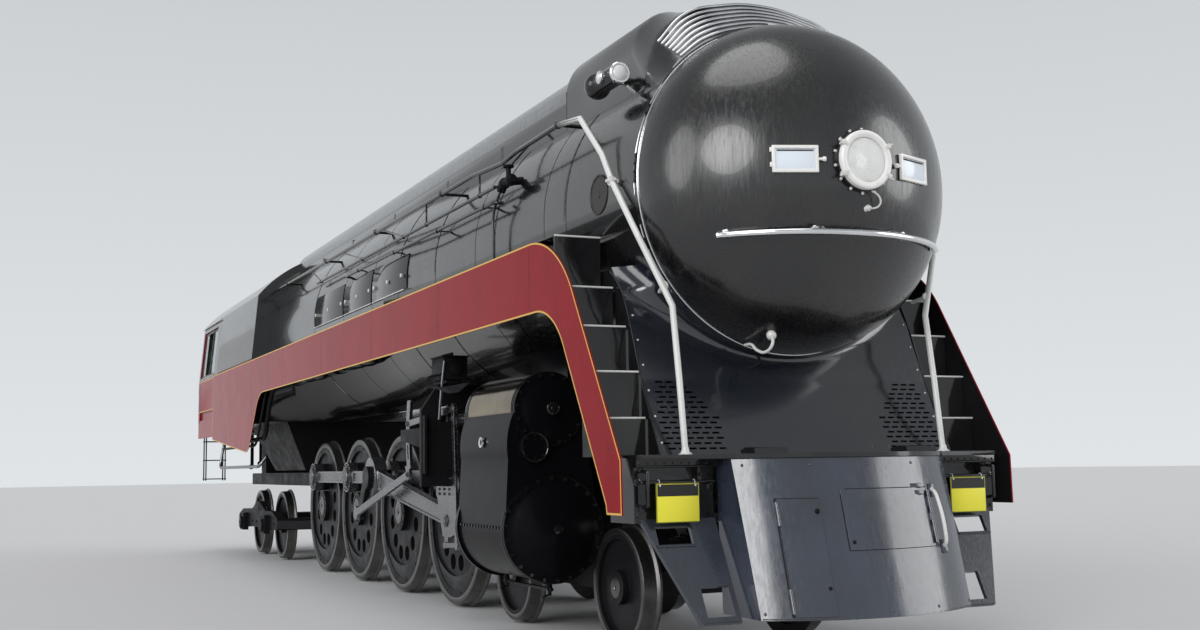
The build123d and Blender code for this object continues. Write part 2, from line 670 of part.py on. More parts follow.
def boiler_section(back, r):
    plane = Plane.YZ.offset(st(back))
    shape = Pos(0, boiler_z) * Circle(r) + Pos(0, (boiler_z + board_z) / 2) * Rectangle(2 * r, boiler_z - board_z)
    return plane * shape


def house_section(back, inset, top, bottom):
    """Section of the cab: upright below the waist, leaning in to the eaves, with an arched roof."""
    plane = Plane.YZ.offset(st(back))
    waist, eaves = side_y - inset, eaves_y - inset
    lines = [Line((-waist, board_z), (-eaves, eaves_z)), Line((waist, board_z), (eaves, eaves_z)),
             ThreePointArc((eaves, eaves_z), (0, top), (-eaves, eaves_z)), Line((-waist, bottom), (waist, bottom))]
    if bottom < board_z:
        lines += [Line((-waist, bottom), (-waist, board_z)), Line((waist, bottom), (waist, board_z))]
    return make_face([plane * line for line in lines])


def boiler_outline(grow):
    """Nose course, taper and barrel, their faces the given distance outside the real ones."""
    front, barrel = nose_r + grow, barrel_r + grow
    shell = extrude(boiler_section(taper_start, front), taper_start - nose_back, dir=(1, 0, 0))
    shell += loft([boiler_section(taper_end, barrel).face(), boiler_section(taper_start, front).face()], ruled=True)
    shell += extrude(boiler_section(firebox_back, barrel), firebox_back - taper_end, dir=(1, 0, 0))
    return shell


def boiler_jacket():
    firebox = extrude(house_section(cab_back, 0, roof_z, board_z), cab_back - firebox_back, dir=(1, 0, 0))
    lower = block(st(cab_back), st(firebox_back - 250), -1350, 1350, cab_floor_z, board_z)
    return boiler_outline(0) + firebox + lower


def nose_dome():
    """Domed front: a short ring, a knuckle and a flatter crown, turned about the boiler's centre line."""
    x = st(nose_back)
    start = x + nose_ring
    depth = nose_length - nose_ring
    crown = (depth ** 2 + (nose_r - knuckle_r) ** 2 - knuckle_r ** 2) / (2 * (depth - knuckle_r))
    centre = start + depth - crown
    turn = math.atan2(nose_r - knuckle_r, start - centre)
    meet = (start + knuckle_r * math.cos(turn), boiler_z + nose_r - knuckle_r + knuckle_r * math.sin(turn))
    half = turn / 2
    crown_mid = (centre + crown * math.cos(half), boiler_z + crown * math.sin(half))
    bend = (turn + math.pi / 2) / 2
    knuckle_mid = (start + knuckle_r * math.cos(bend), boiler_z + nose_r - knuckle_r + knuckle_r * math.sin(bend))
    rim = (start, boiler_z + nose_r)
    back = x + face_play
    outline = [Line((back, boiler_z), (back, boiler_z + nose_r)), Line((back, boiler_z + nose_r), rim),
               ThreePointArc(rim, knuckle_mid, meet), ThreePointArc(meet, crown_mid, (start + depth, boiler_z)),
               Line((start + depth, boiler_z), (back, boiler_z))]
    face = make_face([Plane.XZ * line for line in outline])
    return revolve(face, Axis((x, 0, boiler_z), (1, 0, 0)), 360)


def hood_section(station, side_half, side_up, crown_half, crown_up, top_up, bulge):
    """Section of the hood over the front: upright sides, bulging shoulders and a nearly flat crown."""
    low = boiler_z + casing_foot
    height = casing_top - low
    side_z, crown_z, top = low + height * side_up, low + height * crown_up, low + height * top_up
    chord = math.hypot(side_half - crown_half, crown_z - side_z)
    mid_y = (side_half + crown_half) / 2 + bulge * (crown_z - side_z) / chord
    mid_z = (side_z + crown_z) / 2 + bulge * (side_half - crown_half) / chord
    plane = Plane.YZ.offset(st(station))
    lines = [Line((-side_half, side_z), (-side_half, low)), Line((-side_half, low), (side_half, low)),
             Line((side_half, low), (side_half, side_z)),
             ThreePointArc((side_half, side_z), (mid_y, mid_z), (crown_half, crown_z)),
             ThreePointArc((crown_half, crown_z), (0, top), (-crown_half, crown_z)),
             ThreePointArc((-crown_half, crown_z), (-mid_y, mid_z), (-side_half, side_z))]
    return make_face([plane * line for line in lines])


def casing_section(back, half, top, corner):
    plane = Plane.YZ.offset(st(back))
    low = boiler_z + casing_foot
    corner = min(corner, 0.45 * (top - low))
    shape = Pos(0, (top + low) / 2) * RectangleRounded(2 * half, top - low, corner)
    return plane * shape


def skyline_casing():
    """Hood round the chimney and the long low casing behind it."""
    casing = loft([hood_section(*row).face() for row in hood], ruled=True)
    rear_top = casing_top - rear_casing_drop
    casing += extrude(casing_section(firebox_back + 200, rear_casing_half, rear_top, casing_corner - 60),
                      firebox_back + 200 - hood_end, dir=(1, 0, 0))
    casing -= boiler_outline(face_play)
    roof = house_section(firebox_back + 300, -face_play, roof_z + face_play, board_z)
    casing -= extrude(roof, 300, dir=(1, 0, 0))
    # mouth of the chimney inside the hood
    casing -= rod_z(st(stack_back), 0, casing_top - 30, casing_top + 50, stack_r)
    casing -= rod_z(st(stack_back), 0, casing_top - 280, casing_top + 50, stack_r - 45)
    for back in lid_backs:
        casing += rod_z(st(back), 0, rear_top - 20, rear_top + 22, 190)
    for y in (-160, 0, 160):
        casing += rod_z(st(safety_back), y, rear_top - 20, rear_top + 75, 48)
    return casing


def lamp_plane(side):
    """Front face of a number board, turned outwards."""
    turn = math.radians(board_turn)
    return Plane(origin=(st(-board_front), side * board_y, boiler_z + board_rise), x_dir=(-side * math.sin(turn), math.cos(turn), 0),
                 z_dir=(math.cos(turn), side * math.sin(turn), 0))


def lamps():
    """Headlight, the two number boards beside it and the bullet-shaped class lamps."""
    face_x = st(-headlight_front)
    rows = [(-230, 0), (-230, 212), (-30, 212), (-30, 200), (0, 200), (0, 155), (-35, 150), (-35, 0)]
    light = turned_x(rows, face_x, 0, boiler_z + headlight_rise) - nose_dome_solid
    for side in (-1, 1):
        board = Box(300, 170, 220) - Pos(0, 0, 110) * Box(268, 138, 16)
        light += (lamp_plane(side) * Pos(0, 0, -110) * board) - nose_dome_solid
        # bullet body with its tail to the rear, a front lens and a side lens
        tail_x, lens_x = st(lamp_tail), st(lamp_lens)
        y, z, r = side * lamp_y, lamp_z, lamp_r
        tail = dome_x(0, 0, 0, r, 170)
        body = Pos(tail_x + 170, y, z) * Rot(0, 0, 180) * tail
        body += rod_x(tail_x + 169, lens_x, y, z, r) - rod_x(lens_x - 12, lens_x + 10, y, z, r - 14)
        body += rod_y(tail_x + 330, z, y, y + side * (r + 12), 48)
        body += block(lens_x - 200, lens_x - 90, *sorted((side * 850, y)), z - 30, z - 5) - casing_solid
        light += body
    return light


def apron():
    """Cowl under the nose, with rows of slots at both sides."""
    half = nose_r - 5
    profile = [(st(130), deck_z + face_play), (st(380), 1990), (st(568), 2441), (st(678), 2643), (st(894), 2829),
               (st(1400), 2829), (st(1400), deck_z + face_play)]
    cowl = side_plate(profile, -half, half)
    inner = [(st(160), deck_z - 10), (st(410), 1978), (st(598), 2429), (st(708), 2631), (st(1000), 2829),
             (st(1500), 2900), (st(1500), deck_z - 10)]
    cowl -= side_plate(inner, -half + sheet, half - sheet)
    cowl -= rod_x(st(3000), st(nose_back), 0, boiler_z, nose_r + face_play)
    cowl -= nose_dome_solid
    slots = []
    for row in range(slot_rows):
        z = deck_z + 60 + slot_pitch * row
        x = st(130 + 250 * (z - deck_z) / 514)
        count = 4 if row < slot_rows - 3 else 3
        for k in range(count):
            # every second row is set off by half a slot
            y = half - 90 - slot_length / 2 - (slot_length + 38) * (k + 0.5 * (row % 2))
            for side in (-1, 1):
                slots.append(block(x - 60, x + 60, side * y - slot_length / 2, side * y + slot_length / 2, z, z + slot_height))
    return cowl - slots


def step_plate(side):
    """Sloping plate with two foot holes, hung from the end of the beam."""
    lean = math.hypot(1, step_lean)
    plane = Plane(origin=(st(-15), 0, deck_z - beam_depth), x_dir=(0, 1, 0), z_dir=(1 / lean, 0, step_lean / lean))
    drop = -(deck_z - beam_depth - step_bottom) * lean
    outline = [(side * 872, 28), (side * 1425, 28), (side * 1165, drop), (side * 872, drop)]
    plate = extrude(make_face(plane * Polyline(*outline, close=True)), step_plate_t, dir=(-1 / lean, 0, -step_lean / lean))
    for y0, y1, low, high in ((1075, 1330, -150, -26), (910, 1110, drop + 45, drop + 250)):
        hole = [(side * y0, low), (side * y1, low), (side * y1, high), (side * y0, high)]
        cut = make_face(plane.offset(20) * Polyline(*hole, close=True))
        plate -= extrude(cut, step_plate_t + 40, dir=(-1 / lean, 0, -step_lean / lean))
    return plate


def pilot_beam():
    """Beam across the front, the deck's edge over the pilot, and what is fastened to each end."""
    beam = block(st(beam_length), st(0), -beam_half, beam_half, deck_z - beam_depth, deck_z)
    half = pilot_half + 12
    corner = (st(-pilot_side - 12), half)
    edge = [Line((st(0), -beam_half), (st(-40), -beam_half)), Line((st(-40), -beam_half), (corner[0], -half)),
            ThreePointArc((corner[0], -half), (st(-pilot_side - pilot_bulge - 12), 0), corner),
            Line(corner, (st(-40), beam_half)), Line((st(-40), beam_half), (st(0), beam_half)),
            Line((st(0), beam_half), (st(0), -beam_half))]
    beam += extrude(make_face([Plane.XY.offset(deck_z - lip) * line for line in edge]), lip, dir=(0, 0, 1))
    for side in (-1, 1):
        ends = sorted((side * (half + 20), side * beam_half))
        beam += block(st(0) - 1, st(-38), *ends, deck_z - 80, deck_z - lip + 1)
        beam -= block(st(90), st(0) + 1, *sorted((side * 992, side * 1368)), 1305, 1396)
        beam -= block(st(150), st(0) + 1, *sorted((side * 790, side * 880)), 1090, 1396)
        beam += step_plate(side)
        grip = st(-52)
        beam += bar([(st(0) - 5, side * 905, 1300), (grip, side * 905, 1300), (grip, side * 1432, 1300),
                     (st(0) - 5, side * 1432, 1300)], 12)
        beam += bar([(st(0) - 5, side * 1405, 1375), (grip + 32, side * 1405, 1365), (grip + 32, side * 1405, 1150),
                     (st(0) - 5, side * 1405, 1140)], 12)
        # raised bracket on the deck in front of the apron
        beam += side_plate([(st(-300), deck_z - 5), (st(-120), deck_z - 5), (st(-120), deck_z + 25), (st(-200), deck_z + 42),
                            (st(-300), deck_z + 35)], side * 480, side * 730)
    return beam


def pilot_solid(out):
    """Solid pilot whose faces lie the given distance outside the real ones."""
    top = deck_z - lip - face_play
    drop = top - pilot_bottom
    radius = (pilot_half ** 2 + pilot_bulge ** 2) / (2 * pilot_bulge)
    front = pilot_side + pilot_bulge
    half = pilot_half + 200
    corner = front - radius + math.sqrt(radius ** 2 - half ** 2)
    rear = st(1500)
    plan = [Line((rear, -half), (st(-corner - out), -half)),
            ThreePointArc((st(-corner - out), -half), (st(-front - out), 0), (st(-corner - out), half)),
            Line((st(-corner - out), half), (rear, half)), Line((rear, half), (rear, -half))]
    face = make_face([Plane.XY.offset(top) * line for line in plan])
    slant = math.hypot(drop, pilot_rake)
    body = extrude(face, slant, dir=(pilot_rake / slant, 0, -drop / slant))
    sides = [(-pilot_half - out, top), (pilot_half + out, top), (pilot_toe_half + out, pilot_bottom),
             (-pilot_toe_half - out, pilot_bottom)]
    body = body & cross_plate(sides, st(1400), st(-2000))
    return body - block(st(3000), st(-face_play), -3000, 3000, 0, 3000)


def pilot_x(y, z, out):
    """X of the pilot's front face at y and z, the given distance outside it."""
    top = deck_z - lip - face_play
    radius = (pilot_half ** 2 + pilot_bulge ** 2) / (2 * pilot_bulge)
    ahead = pilot_side + pilot_bulge - radius + math.sqrt(radius ** 2 - y ** 2) + out
    return st(-ahead) + pilot_rake * (top - z) / (top - pilot_bottom)


def panel_pin(name, z, r):
    """Rod along the hinge of a pilot panel, from the first height to the second."""
    hinge_y = panels[name][0]
    low, high = z
    a = (pilot_x(hinge_y, low, panel_pin_out), hinge_y, low)
    b = (pilot_x(hinge_y, high, panel_pin_out), hinge_y, high)
    along = (Vector(*b) - Vector(*a)).normalized()
    length = (Vector(*b) - Vector(*a)).length
    return Plane(origin=a, z_dir=along) * Pos(0, 0, length / 2) * Cylinder(r, length)


def knuckles(name):
    """Heights of the panel's knuckles."""
    low, high = panels[name][2:]
    return [(low + 60, low + 130), (high - 130, high - 60)]


def pilot_shell():
    shell = pilot_solid(0) - pilot_solid(-pilot_sheet)
    for name, (hinge_y, free_y, low, high) in panels.items():
        y0, y1 = sorted((hinge_y, free_y))
        shell -= block(st(0), st(-2000), y0 + 25, y1 - 25, low + 25, high - 25)
        for a, b in knuckles(name):
            shell += panel_pin(name, (a - 40, b + 40), panel_pin_r)
            for c, d in ((a - 40, a - face_play), (b + face_play, b + 40)):
                shell += panel_pin(name, (c, d), panel_knuckle_r)
                shell += block(pilot_x(hinge_y, d, -pilot_sheet / 2), pilot_x(hinge_y, d, panel_pin_out), hinge_y - 5, hinge_y + 5,
                               c + 4, d - 4)
    return shell


def pilot_panel(name):
    """Hinged panel lying on the pilot's face over its opening."""
    hinge_y, free_y, low, high = panels[name]
    y0, y1 = sorted((hinge_y, free_y))
    step = 9 if free_y > hinge_y else -9
    sheet_ = (pilot_solid(face_play + panel) - pilot_solid(face_play))
    plate = sheet_ & block(st(0), st(-2000), min(hinge_y + step, free_y), max(hinge_y + step, free_y), low, high)
    for a, b in knuckles(name):
        plate += panel_pin(name, (a, b), panel_knuckle_r)
        lug_y = sorted((hinge_y + step, hinge_y + 2 * step))
        plate += block(pilot_x(hinge_y, b, 9), pilot_x(hinge_y, a, 16), *lug_y, a + 4, b - 4) & (pilot_solid(14) - pilot_solid(1))
        plate -= panel_pin(name, (a - 5, b + 5), panel_pin_r + pin_play)
    return plate


def skirt(side):
    y0, y1 = side * (skirt_y - sheet), side * skirt_y
    outline = [(st(skirt_back), board_z), (st(941), board_z), (st(-70), 1445), (st(-76), 1095),
               (st(150), 1095), (st(163), 1157), (st(1015), skirt_bottom), (st(step_back), skirt_bottom),
               (st(deep_back), deep_skirt_bottom), (st(skirt_back), skirt_rear_bottom)]
    plate = side_plate(outline, y0, y1)
    rounds = ((941, board_z, 950), (1015, skirt_bottom, 600), (step_back, skirt_bottom, 700), (deep_back, deep_skirt_bottom, 500))
    for back, z, radius in rounds:
        edge = plate.edges().filter_by(Axis.Y).sort_by_distance((st(back), (y0 + y1) / 2, z))[0]
        plate = fillet(edge, radius)
    return plate


def running_board(side):
    y1 = side * (skirt_y - sheet)
    inside = max(nose_r, barrel_r) + face_play
    board = block(st(firebox_back - 250 - face_play), st(1320), side * inside, y1 - side * face_play, board_z - board_t, board_z)
    # front edges of the treads: distance behind the beam face, and height
    treads = ((320, 1735), (410, 2055), (600, 2385), (800, 2685), (1000, board_z))
    inner = side * (nose_r + 5)
    outer = y1 - side * face_play
    steps = None
    for (back, z), (next_back, next_z) in zip(treads[:-1], treads[1:]):
        tread = block(st(next_back + 12), st(back), inner, outer, z - 12, z)
        riser = block(st(next_back + 12), st(next_back), inner, outer, z - 12, next_z)
        pair = tread + riser
        steps = pair if steps is None else steps + pair
    steps += block(st(332), st(320), inner, outer, deck_z + face_play, 1735)
    steps += block(st(1330), st(1000), inner, outer, board_z - 12, board_z)
    return board + steps


def cab_side(side):
    """Cab side with its window, a lower panel and the recessed step across it."""
    low = skirt_rear_bottom + 60
    section = [(side * side_y, low), (side * side_y, board_z), (side * eaves_y, eaves_z),
               (side * (eaves_y - wall_t), eaves_z), (side * (side_y - wall_t), board_z), (side * (side_y - wall_t), low)]
    wall = cross_plate(section, st(rear_reach), st(cab_back + face_play))
    y0, y1 = side * (eaves_y - 200), side * (side_y + 50)
    wall -= block(st(window_back), st(window_front), y0, y1, window_low, window_high)
    wall -= block(st(window_back - 30), st(skirt_back + 60), side * (side_y - wall_t + 12), y1, 2350, 2490)
    return wall


def cab_roof():
    front = cab_back + face_play
    outer = extrude(house_section(rear_reach, 0, roof_z, board_z), rear_reach - front, dir=(1, 0, 0))
    inner = extrude(house_section(rear_reach + 10, wall_t, roof_z - wall_t, board_z - 20), rear_reach - cab_back + 30, dir=(1, 0, 0))
    return (outer - inner) - block(st(rear_reach + 50), st(cab_back - 50), -3000, 3000, 0, eaves_z + face_play)


def backhead():
    """Rear of the boiler inside the cab: a rounded plate with the fire door, gauges, throttle and valves."""
    face = cab_back + backhead_t
    plane = Plane.YZ.offset(st(face))
    lines = [Line((-820, cab_floor_z + face_play), (820, cab_floor_z + face_play)), Line((820, cab_floor_z + face_play), (900, 3300)),
             ThreePointArc((900, 3300), (0, 4250), (-900, 3300)), Line((-900, 3300), (-820, cab_floor_z + face_play))]
    plate = extrude(make_face([plane * line for line in lines]), backhead_t - face_play, dir=(1, 0, 0))
    plate += block(st(face + 40), st(face - 1), -330, 330, 2480, 2930)
    for half in (-1, 1):
        plate += block(st(face + 70), st(face + 39), *sorted((half * 8, half * 280)), 2530, 2880)
    # gauges: y, height and radius
    for y, z, r in ((-420, 3700, 95), (-160, 3830, 80), (160, 3830, 80), (420, 3700, 95), (-640, 3420, 70)):
        plate += rod_x(st(face + 60), st(face - 1), y, z, r)
    plate += bar([(st(face) + 1, -520, 3250), (st(face + 120), -520, 3250), (st(face + 120), -840, 3150)], 16)
    plate += bar([(st(face) + 1, -600, 3560), (st(face + 90), -600, 3560), (st(face + 90), 600, 3560),
                  (st(face) + 1, 600, 3560)], 22)
    for y in (-300, -100, 100, 300):
        plate += rod_x(st(face + 70), st(face - 1), y, 3330, 14) + rod_x(st(face + 82), st(face + 69), y, 3330, 48)
    return plate


def cab_floor():
    inside = side_y - wall_t - face_play
    floor = block(st(rear_reach - 60), st(cab_back + face_play), -inside, inside, cab_floor_z - 60, cab_floor_z)
    for side in (-1, 1):
        back = seat_back
        floor += block(st(back), st(back - 450), side * 950, side * 1400, cab_floor_z + 460, cab_floor_z + 530)
        floor += block(st(back + 50), st(back), side * 950, side * 1400, cab_floor_z + 460, cab_floor_z + 900)
        floor += block(st(back - 170), st(back - 270), side * 1120, side * 1220, cab_floor_z, cab_floor_z + 460)
    floor += block(st(seat_back + 50), st(seat_back - 350), -frame_y, frame_y, frame_top + face_play, cab_floor_z - 60)
    return floor


def cab_rear():
    inside = extrude(house_section(rear_reach - face_play, wall_t + 1, roof_z - wall_t - 6, cab_floor_z + face_play), 40, dir=(1, 0, 0))
    wall = inside - block(st(rear_reach + 50), st(rear_reach - 100), -520, 520, cab_floor_z - 10, 4150)
    return wall


def rail_height(back, course):
    """Height of a rail at a station."""
    for (front, _, z0), (rear, _, z1) in zip(course[:-1], course[1:]):
        if front <= back <= rear:
            return z0 + (z1 - z0) * (back - front) / (rear - front)
    return course[-1][2]


def handrails():
    """Rails along both sides with their standoffs, the posts up from the deck, and the rail across the nose."""
    rails = None
    for side in (-1, 1):
        course = [(st(back), side * y, z) for back, y, z in rail_course]
        # the foot stands on the deck, lifted by the tilt of the post
        rail = bar([(course[0][0], course[0][1], deck_z + face_play + 2.6)] + course[1:], rail_r)
        low = [(st(back), side * y, z) for back, y, z in low_rail_course]
        rail += bar(low, rail_r - 3)
        for back, low_back in rungs:
            ends = [(st(back), side * rail_y, rail_height(back, rail_course)),
                    (st(low_back), side * rail_y, rail_height(low_back, low_rail_course))]
            rail += bar(ends, 10)
        for back in standoffs:
            post = rod_y(st(back), rail_height(back, rail_course), side * 850, side * rail_y, 15)
            rail += post - casing_solid - boiler_solid
        # clamp on the nose ring and pad on the hood
        rail += (bar([(st(700), side * rail_y, 3435), (st(700), side * 1100, 3435)], 15) - boiler_solid)
        rails = rail if rails is None else rails + rail
    arc = ThreePointArc((st(-185), -893, 2918), (st(-600), 0, 2918), (st(-185), 893, 2918))
    grip = sweep(Plane(origin=arc @ 0, z_dir=arc % 0) * Circle(17), path=arc)
    for u in (0.02, 0.35, 0.65, 0.98):
        foot = arc @ u
        inward = Vector(st(nose_back) - foot.X, -foot.Y, boiler_z - foot.Z).normalized()
        stub = Plane(origin=foot, z_dir=inward) * Pos(0, 0, 60) * Cylinder(13, 120)
        grip += stub - nose_dome_solid
    return rails + grip


def ash_pan():
    middle = Pos(st((firebox_back + cab_back) / 2 - 75), 0)
    length = cab_back - firebox_back
    hopper = loft([Plane.XY.offset(cab_floor_z - face_play) * (middle * Rectangle(length - 350, 2000)),
                   Plane.XY.offset(frame_top + 40) * (middle * Rectangle(length - 950, 1300))], ruled=True)
    return hopper


boiler_solid = boiler_jacket()
nose_dome_solid = nose_dome()
casing_solid = skyline_casing()

parts = {
    "frame_bed": frame_bed(),
    "cylinder_block": cylinder_block(),
    "boiler_jacket": boiler_solid,
    "nose_dome": nose_dome_solid,
    "skyline_casing": casing_solid,
    "lamps": lamps(),
    "apron": apron(),
    "pilot_beam": pilot_beam(),
    "pilot_shell": pilot_shell(),
    "pilot_hatch": pilot_panel("pilot_hatch"),
    "coupler_cover": pilot_panel("coupler_cover"),
    "backhead": backhead(),
    "cab_roof": cab_roof(),
    "cab_floor": cab_floor(),
    "cab_rear": cab_rear(),
    "handrails": handrails(),
    "ash_pan": ash_pan(),
    "driver_1": driver(st(main_back - driver_pitch), False),
    "main_driver": driver(st(main_back), True),
    "driver_3": driver(st(main_back + driver_pitch), False),
    "driver_4": driver(st(main_back + 2 * driver_pitch), False),
    "lead_truck": lead_truck(),
    "lead_axle_front": truck_axle(lead_back - lead_base / 2, lead_r, 740, small_axle_r),
    "lead_axle_rear": truck_axle(lead_back + lead_base / 2, lead_r, 740, small_axle_r),
    "trail_truck": trail_truck(),
    "trail_axle_front": truck_axle(trail_back - trail_base / 2, trail_r, 1020, small_axle_r),
    "trail_axle_rear": truck_axle(trail_back + trail_base / 2, trail_r, 1020, small_axle_r),
}
for name, side in (("right", -1), ("left", 1)):
    parts["frame_" + name] = frame_side(side)
    parts["skirt_" + name] = skirt(side)
    parts["running_board_" + name] = running_board(side)
    parts["cab_side_" + name] = cab_side(side)
    parts["guides_" + name] = guides(side)
    parts["valve_gear_" + name] = valve_gear(side)
    parts["crosshead_" + name] = crosshead(side)
    parts["main_rod_" + name] = main_rod(side)
    parts["side_rod_" + name] = side_rod(side)

os.makedirs("parts", exist_ok=True)
for name, shape in parts.items():
    export_step(shape, os.path.join("parts", name + ".step"))
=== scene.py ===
import json
from contextlib import contextmanager
from math import asin, atan2, cos, hypot, pi, radians, sin, sqrt, tan, tau

import bmesh
import bpy
from bpy.props import FloatProperty, FloatVectorProperty, IntProperty, PointerProperty
from mathutils import Matrix, Vector

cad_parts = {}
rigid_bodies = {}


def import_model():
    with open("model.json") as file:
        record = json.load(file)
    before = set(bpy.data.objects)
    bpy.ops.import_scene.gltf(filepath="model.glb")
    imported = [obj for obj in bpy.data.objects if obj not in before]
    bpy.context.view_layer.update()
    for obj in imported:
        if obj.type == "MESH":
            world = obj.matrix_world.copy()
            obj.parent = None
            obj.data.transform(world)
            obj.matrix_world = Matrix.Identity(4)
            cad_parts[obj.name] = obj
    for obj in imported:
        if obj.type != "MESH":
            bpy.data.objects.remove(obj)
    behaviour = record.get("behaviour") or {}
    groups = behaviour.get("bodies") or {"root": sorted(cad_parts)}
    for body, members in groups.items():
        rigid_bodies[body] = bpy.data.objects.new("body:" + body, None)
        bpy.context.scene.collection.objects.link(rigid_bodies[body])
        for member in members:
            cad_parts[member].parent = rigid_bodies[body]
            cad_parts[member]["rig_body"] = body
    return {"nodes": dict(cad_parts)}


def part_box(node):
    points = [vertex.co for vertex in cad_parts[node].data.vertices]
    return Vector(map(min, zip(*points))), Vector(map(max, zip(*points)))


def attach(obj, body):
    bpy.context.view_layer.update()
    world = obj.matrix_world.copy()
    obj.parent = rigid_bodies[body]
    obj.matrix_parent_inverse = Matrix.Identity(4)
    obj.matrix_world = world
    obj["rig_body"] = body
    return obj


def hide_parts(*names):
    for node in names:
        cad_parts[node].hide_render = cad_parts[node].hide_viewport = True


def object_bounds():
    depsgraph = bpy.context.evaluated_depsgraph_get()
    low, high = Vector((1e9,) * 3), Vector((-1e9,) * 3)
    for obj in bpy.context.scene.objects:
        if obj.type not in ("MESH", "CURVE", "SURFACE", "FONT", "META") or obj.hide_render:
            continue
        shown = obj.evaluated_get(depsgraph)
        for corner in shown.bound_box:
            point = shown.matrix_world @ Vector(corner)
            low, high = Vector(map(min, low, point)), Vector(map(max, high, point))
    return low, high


bl_info = {
    "name": "Streamlined steam locomotive",
    "version": (1, 0, 0),
    "blender": (4, 5, 0),
    "location": "3D View > Sidebar > Locomotive",
    "description": "Dresses the locomotive's solids with paint, bright metal, glass and fittings",
    "category": "Object",
}

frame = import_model()
cad_low, cad_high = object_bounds()

# The front face of the pilot beam along X, heights and radii, and where the jacket widens, in metres.
BEAM = cad_high.x - 0.744
RAIL = 0.0254
AXLE = 0.9144
BOILER = 3.39
DECK = 1.476
BOARD = 3.08
BARREL = 1.275
TAPER = (4.9, 6.6)
SKIRT = 1.59
NOSE = 1.205
# How far the cylinders and their valve chests lie from the middle, and the chests' height; the trucks' middles as
# stations, and the heights of their axles.
CYLINDER = 1.12
CHEST = 1.15
CHEST_Z = AXLE + 0.96
LEAD = 2.75
LEAD_Z = RAIL + 0.457
TRAIL = 15.135
TRAIL_Z = RAIL + 0.533
SIDES = ((-1, "right"), (1, "left"))
DONE = {"FINISHED"}
AHEAD, BACK, LEFT, UP = (1, 0, 0), (-1, 0, 0), (0, 1, 0), (0, 0, 1)


def at(station):
    """X of a station, a distance in metres behind the beam's front face."""
    return BEAM - station


class LocomotiveSizes(bpy.types.PropertyGroup):
    nose_radius: FloatProperty(name="Nose radius", description="Radius of the nose at its joint ring", default=NOSE, unit="LENGTH")
    nose_station: FloatProperty(name="Nose ring", description="Station of the nose's joint ring", default=0.382, unit="LENGTH")
    nose_depth: FloatProperty(name="Nose depth", description="How far the nose stands ahead of its ring", default=0.96,
        unit="LENGTH")
    ridge_count: IntProperty(name="Hood ridges", description="Polished ridges across the front of the hood", default=7, min=1,
        max=12)
    lining_width: FloatProperty(name="Lining width", description="Width of the lines along the skirts' edges", default=0.013,
        unit="LENGTH")


class LocomotiveColours(bpy.types.PropertyGroup):
    black: FloatVectorProperty(name="Black paint", description="Polished black of the boiler and casings", subtype="COLOR", size=3,
        min=0, max=1, default=(0.006, 0.006, 0.007))
    band: FloatVectorProperty(name="Band", description="Red of the side skirts", subtype="COLOR", size=3, min=0, max=1,
        default=(0.23, 0.005, 0.01))
    lining: FloatVectorProperty(name="Lining", description="Thin lines along the band's edges", subtype="COLOR", size=3, min=0,
        max=1, default=(0.62, 0.36, 0.06))
    placard: FloatVectorProperty(name="Placard", description="Ground of the blank plates on the beam", subtype="COLOR", size=3,
        min=0, max=1, default=(0.8, 0.74, 0.05))


# Materials

def node_material(name):
    material = bpy.data.materials.new(name)
    material.use_nodes = True
    tree = material.node_tree
    return material, tree, tree.nodes["Principled BSDF"]


def object_noise(tree, scale, stretch=(1, 1, 1), detail=4.0, roughness=0.55, offset=(0, 0, 0)):
    """Noise over the object's own coordinates, stretched along X, Y and Z."""
    coords = tree.nodes.new("ShaderNodeTexCoord")
    mapping = tree.nodes.new("ShaderNodeMapping")
    mapping.inputs["Scale"].default_value = stretch
    mapping.inputs["Location"].default_value = offset
    noise = tree.nodes.new("ShaderNodeTexNoise")
    noise.inputs["Scale"].default_value = scale
    noise.inputs["Detail"].default_value = detail
    noise.inputs["Roughness"].default_value = roughness
    tree.links.new(coords.outputs["Object"], mapping.inputs["Vector"])
    tree.links.new(mapping.outputs["Vector"], noise.inputs["Vector"])
    return noise


def mixed_colour(tree, factor, first, second, low=0.35, high=0.65):
    ramp = tree.nodes.new("ShaderNodeValToRGB")
    ramp.color_ramp.elements[0].position = low
    ramp.color_ramp.elements[0].color = (*first, 1)
    ramp.color_ramp.elements[1].position = high
    ramp.color_ramp.elements[1].color = (*second, 1)
    tree.links.new(factor, ramp.inputs["Fac"])
    return ramp.outputs["Color"]


def ranged(tree, factor, low, high, start=0.3, stop=0.7):
    """A number that runs from low to high as the factor runs from start to stop."""
    node = tree.nodes.new("ShaderNodeMapRange")
    node.inputs["From Min"].default_value = start
    node.inputs["From Max"].default_value = stop
    node.inputs["To Min"].default_value = low
    node.inputs["To Max"].default_value = high
    tree.links.new(factor, node.inputs["Value"])
    return node.outputs["Result"]


def bumped(tree, shader, height, strength, distance, previous=None):
    bump = tree.nodes.new("ShaderNodeBump")
    bump.inputs["Strength"].default_value = strength
    bump.inputs["Distance"].default_value = distance
    tree.links.new(height, bump.inputs["Height"])
    if previous:
        tree.links.new(previous, bump.inputs["Normal"])
    tree.links.new(bump.outputs["Normal"], shader.inputs["Normal"])
    return bump.outputs["Normal"]


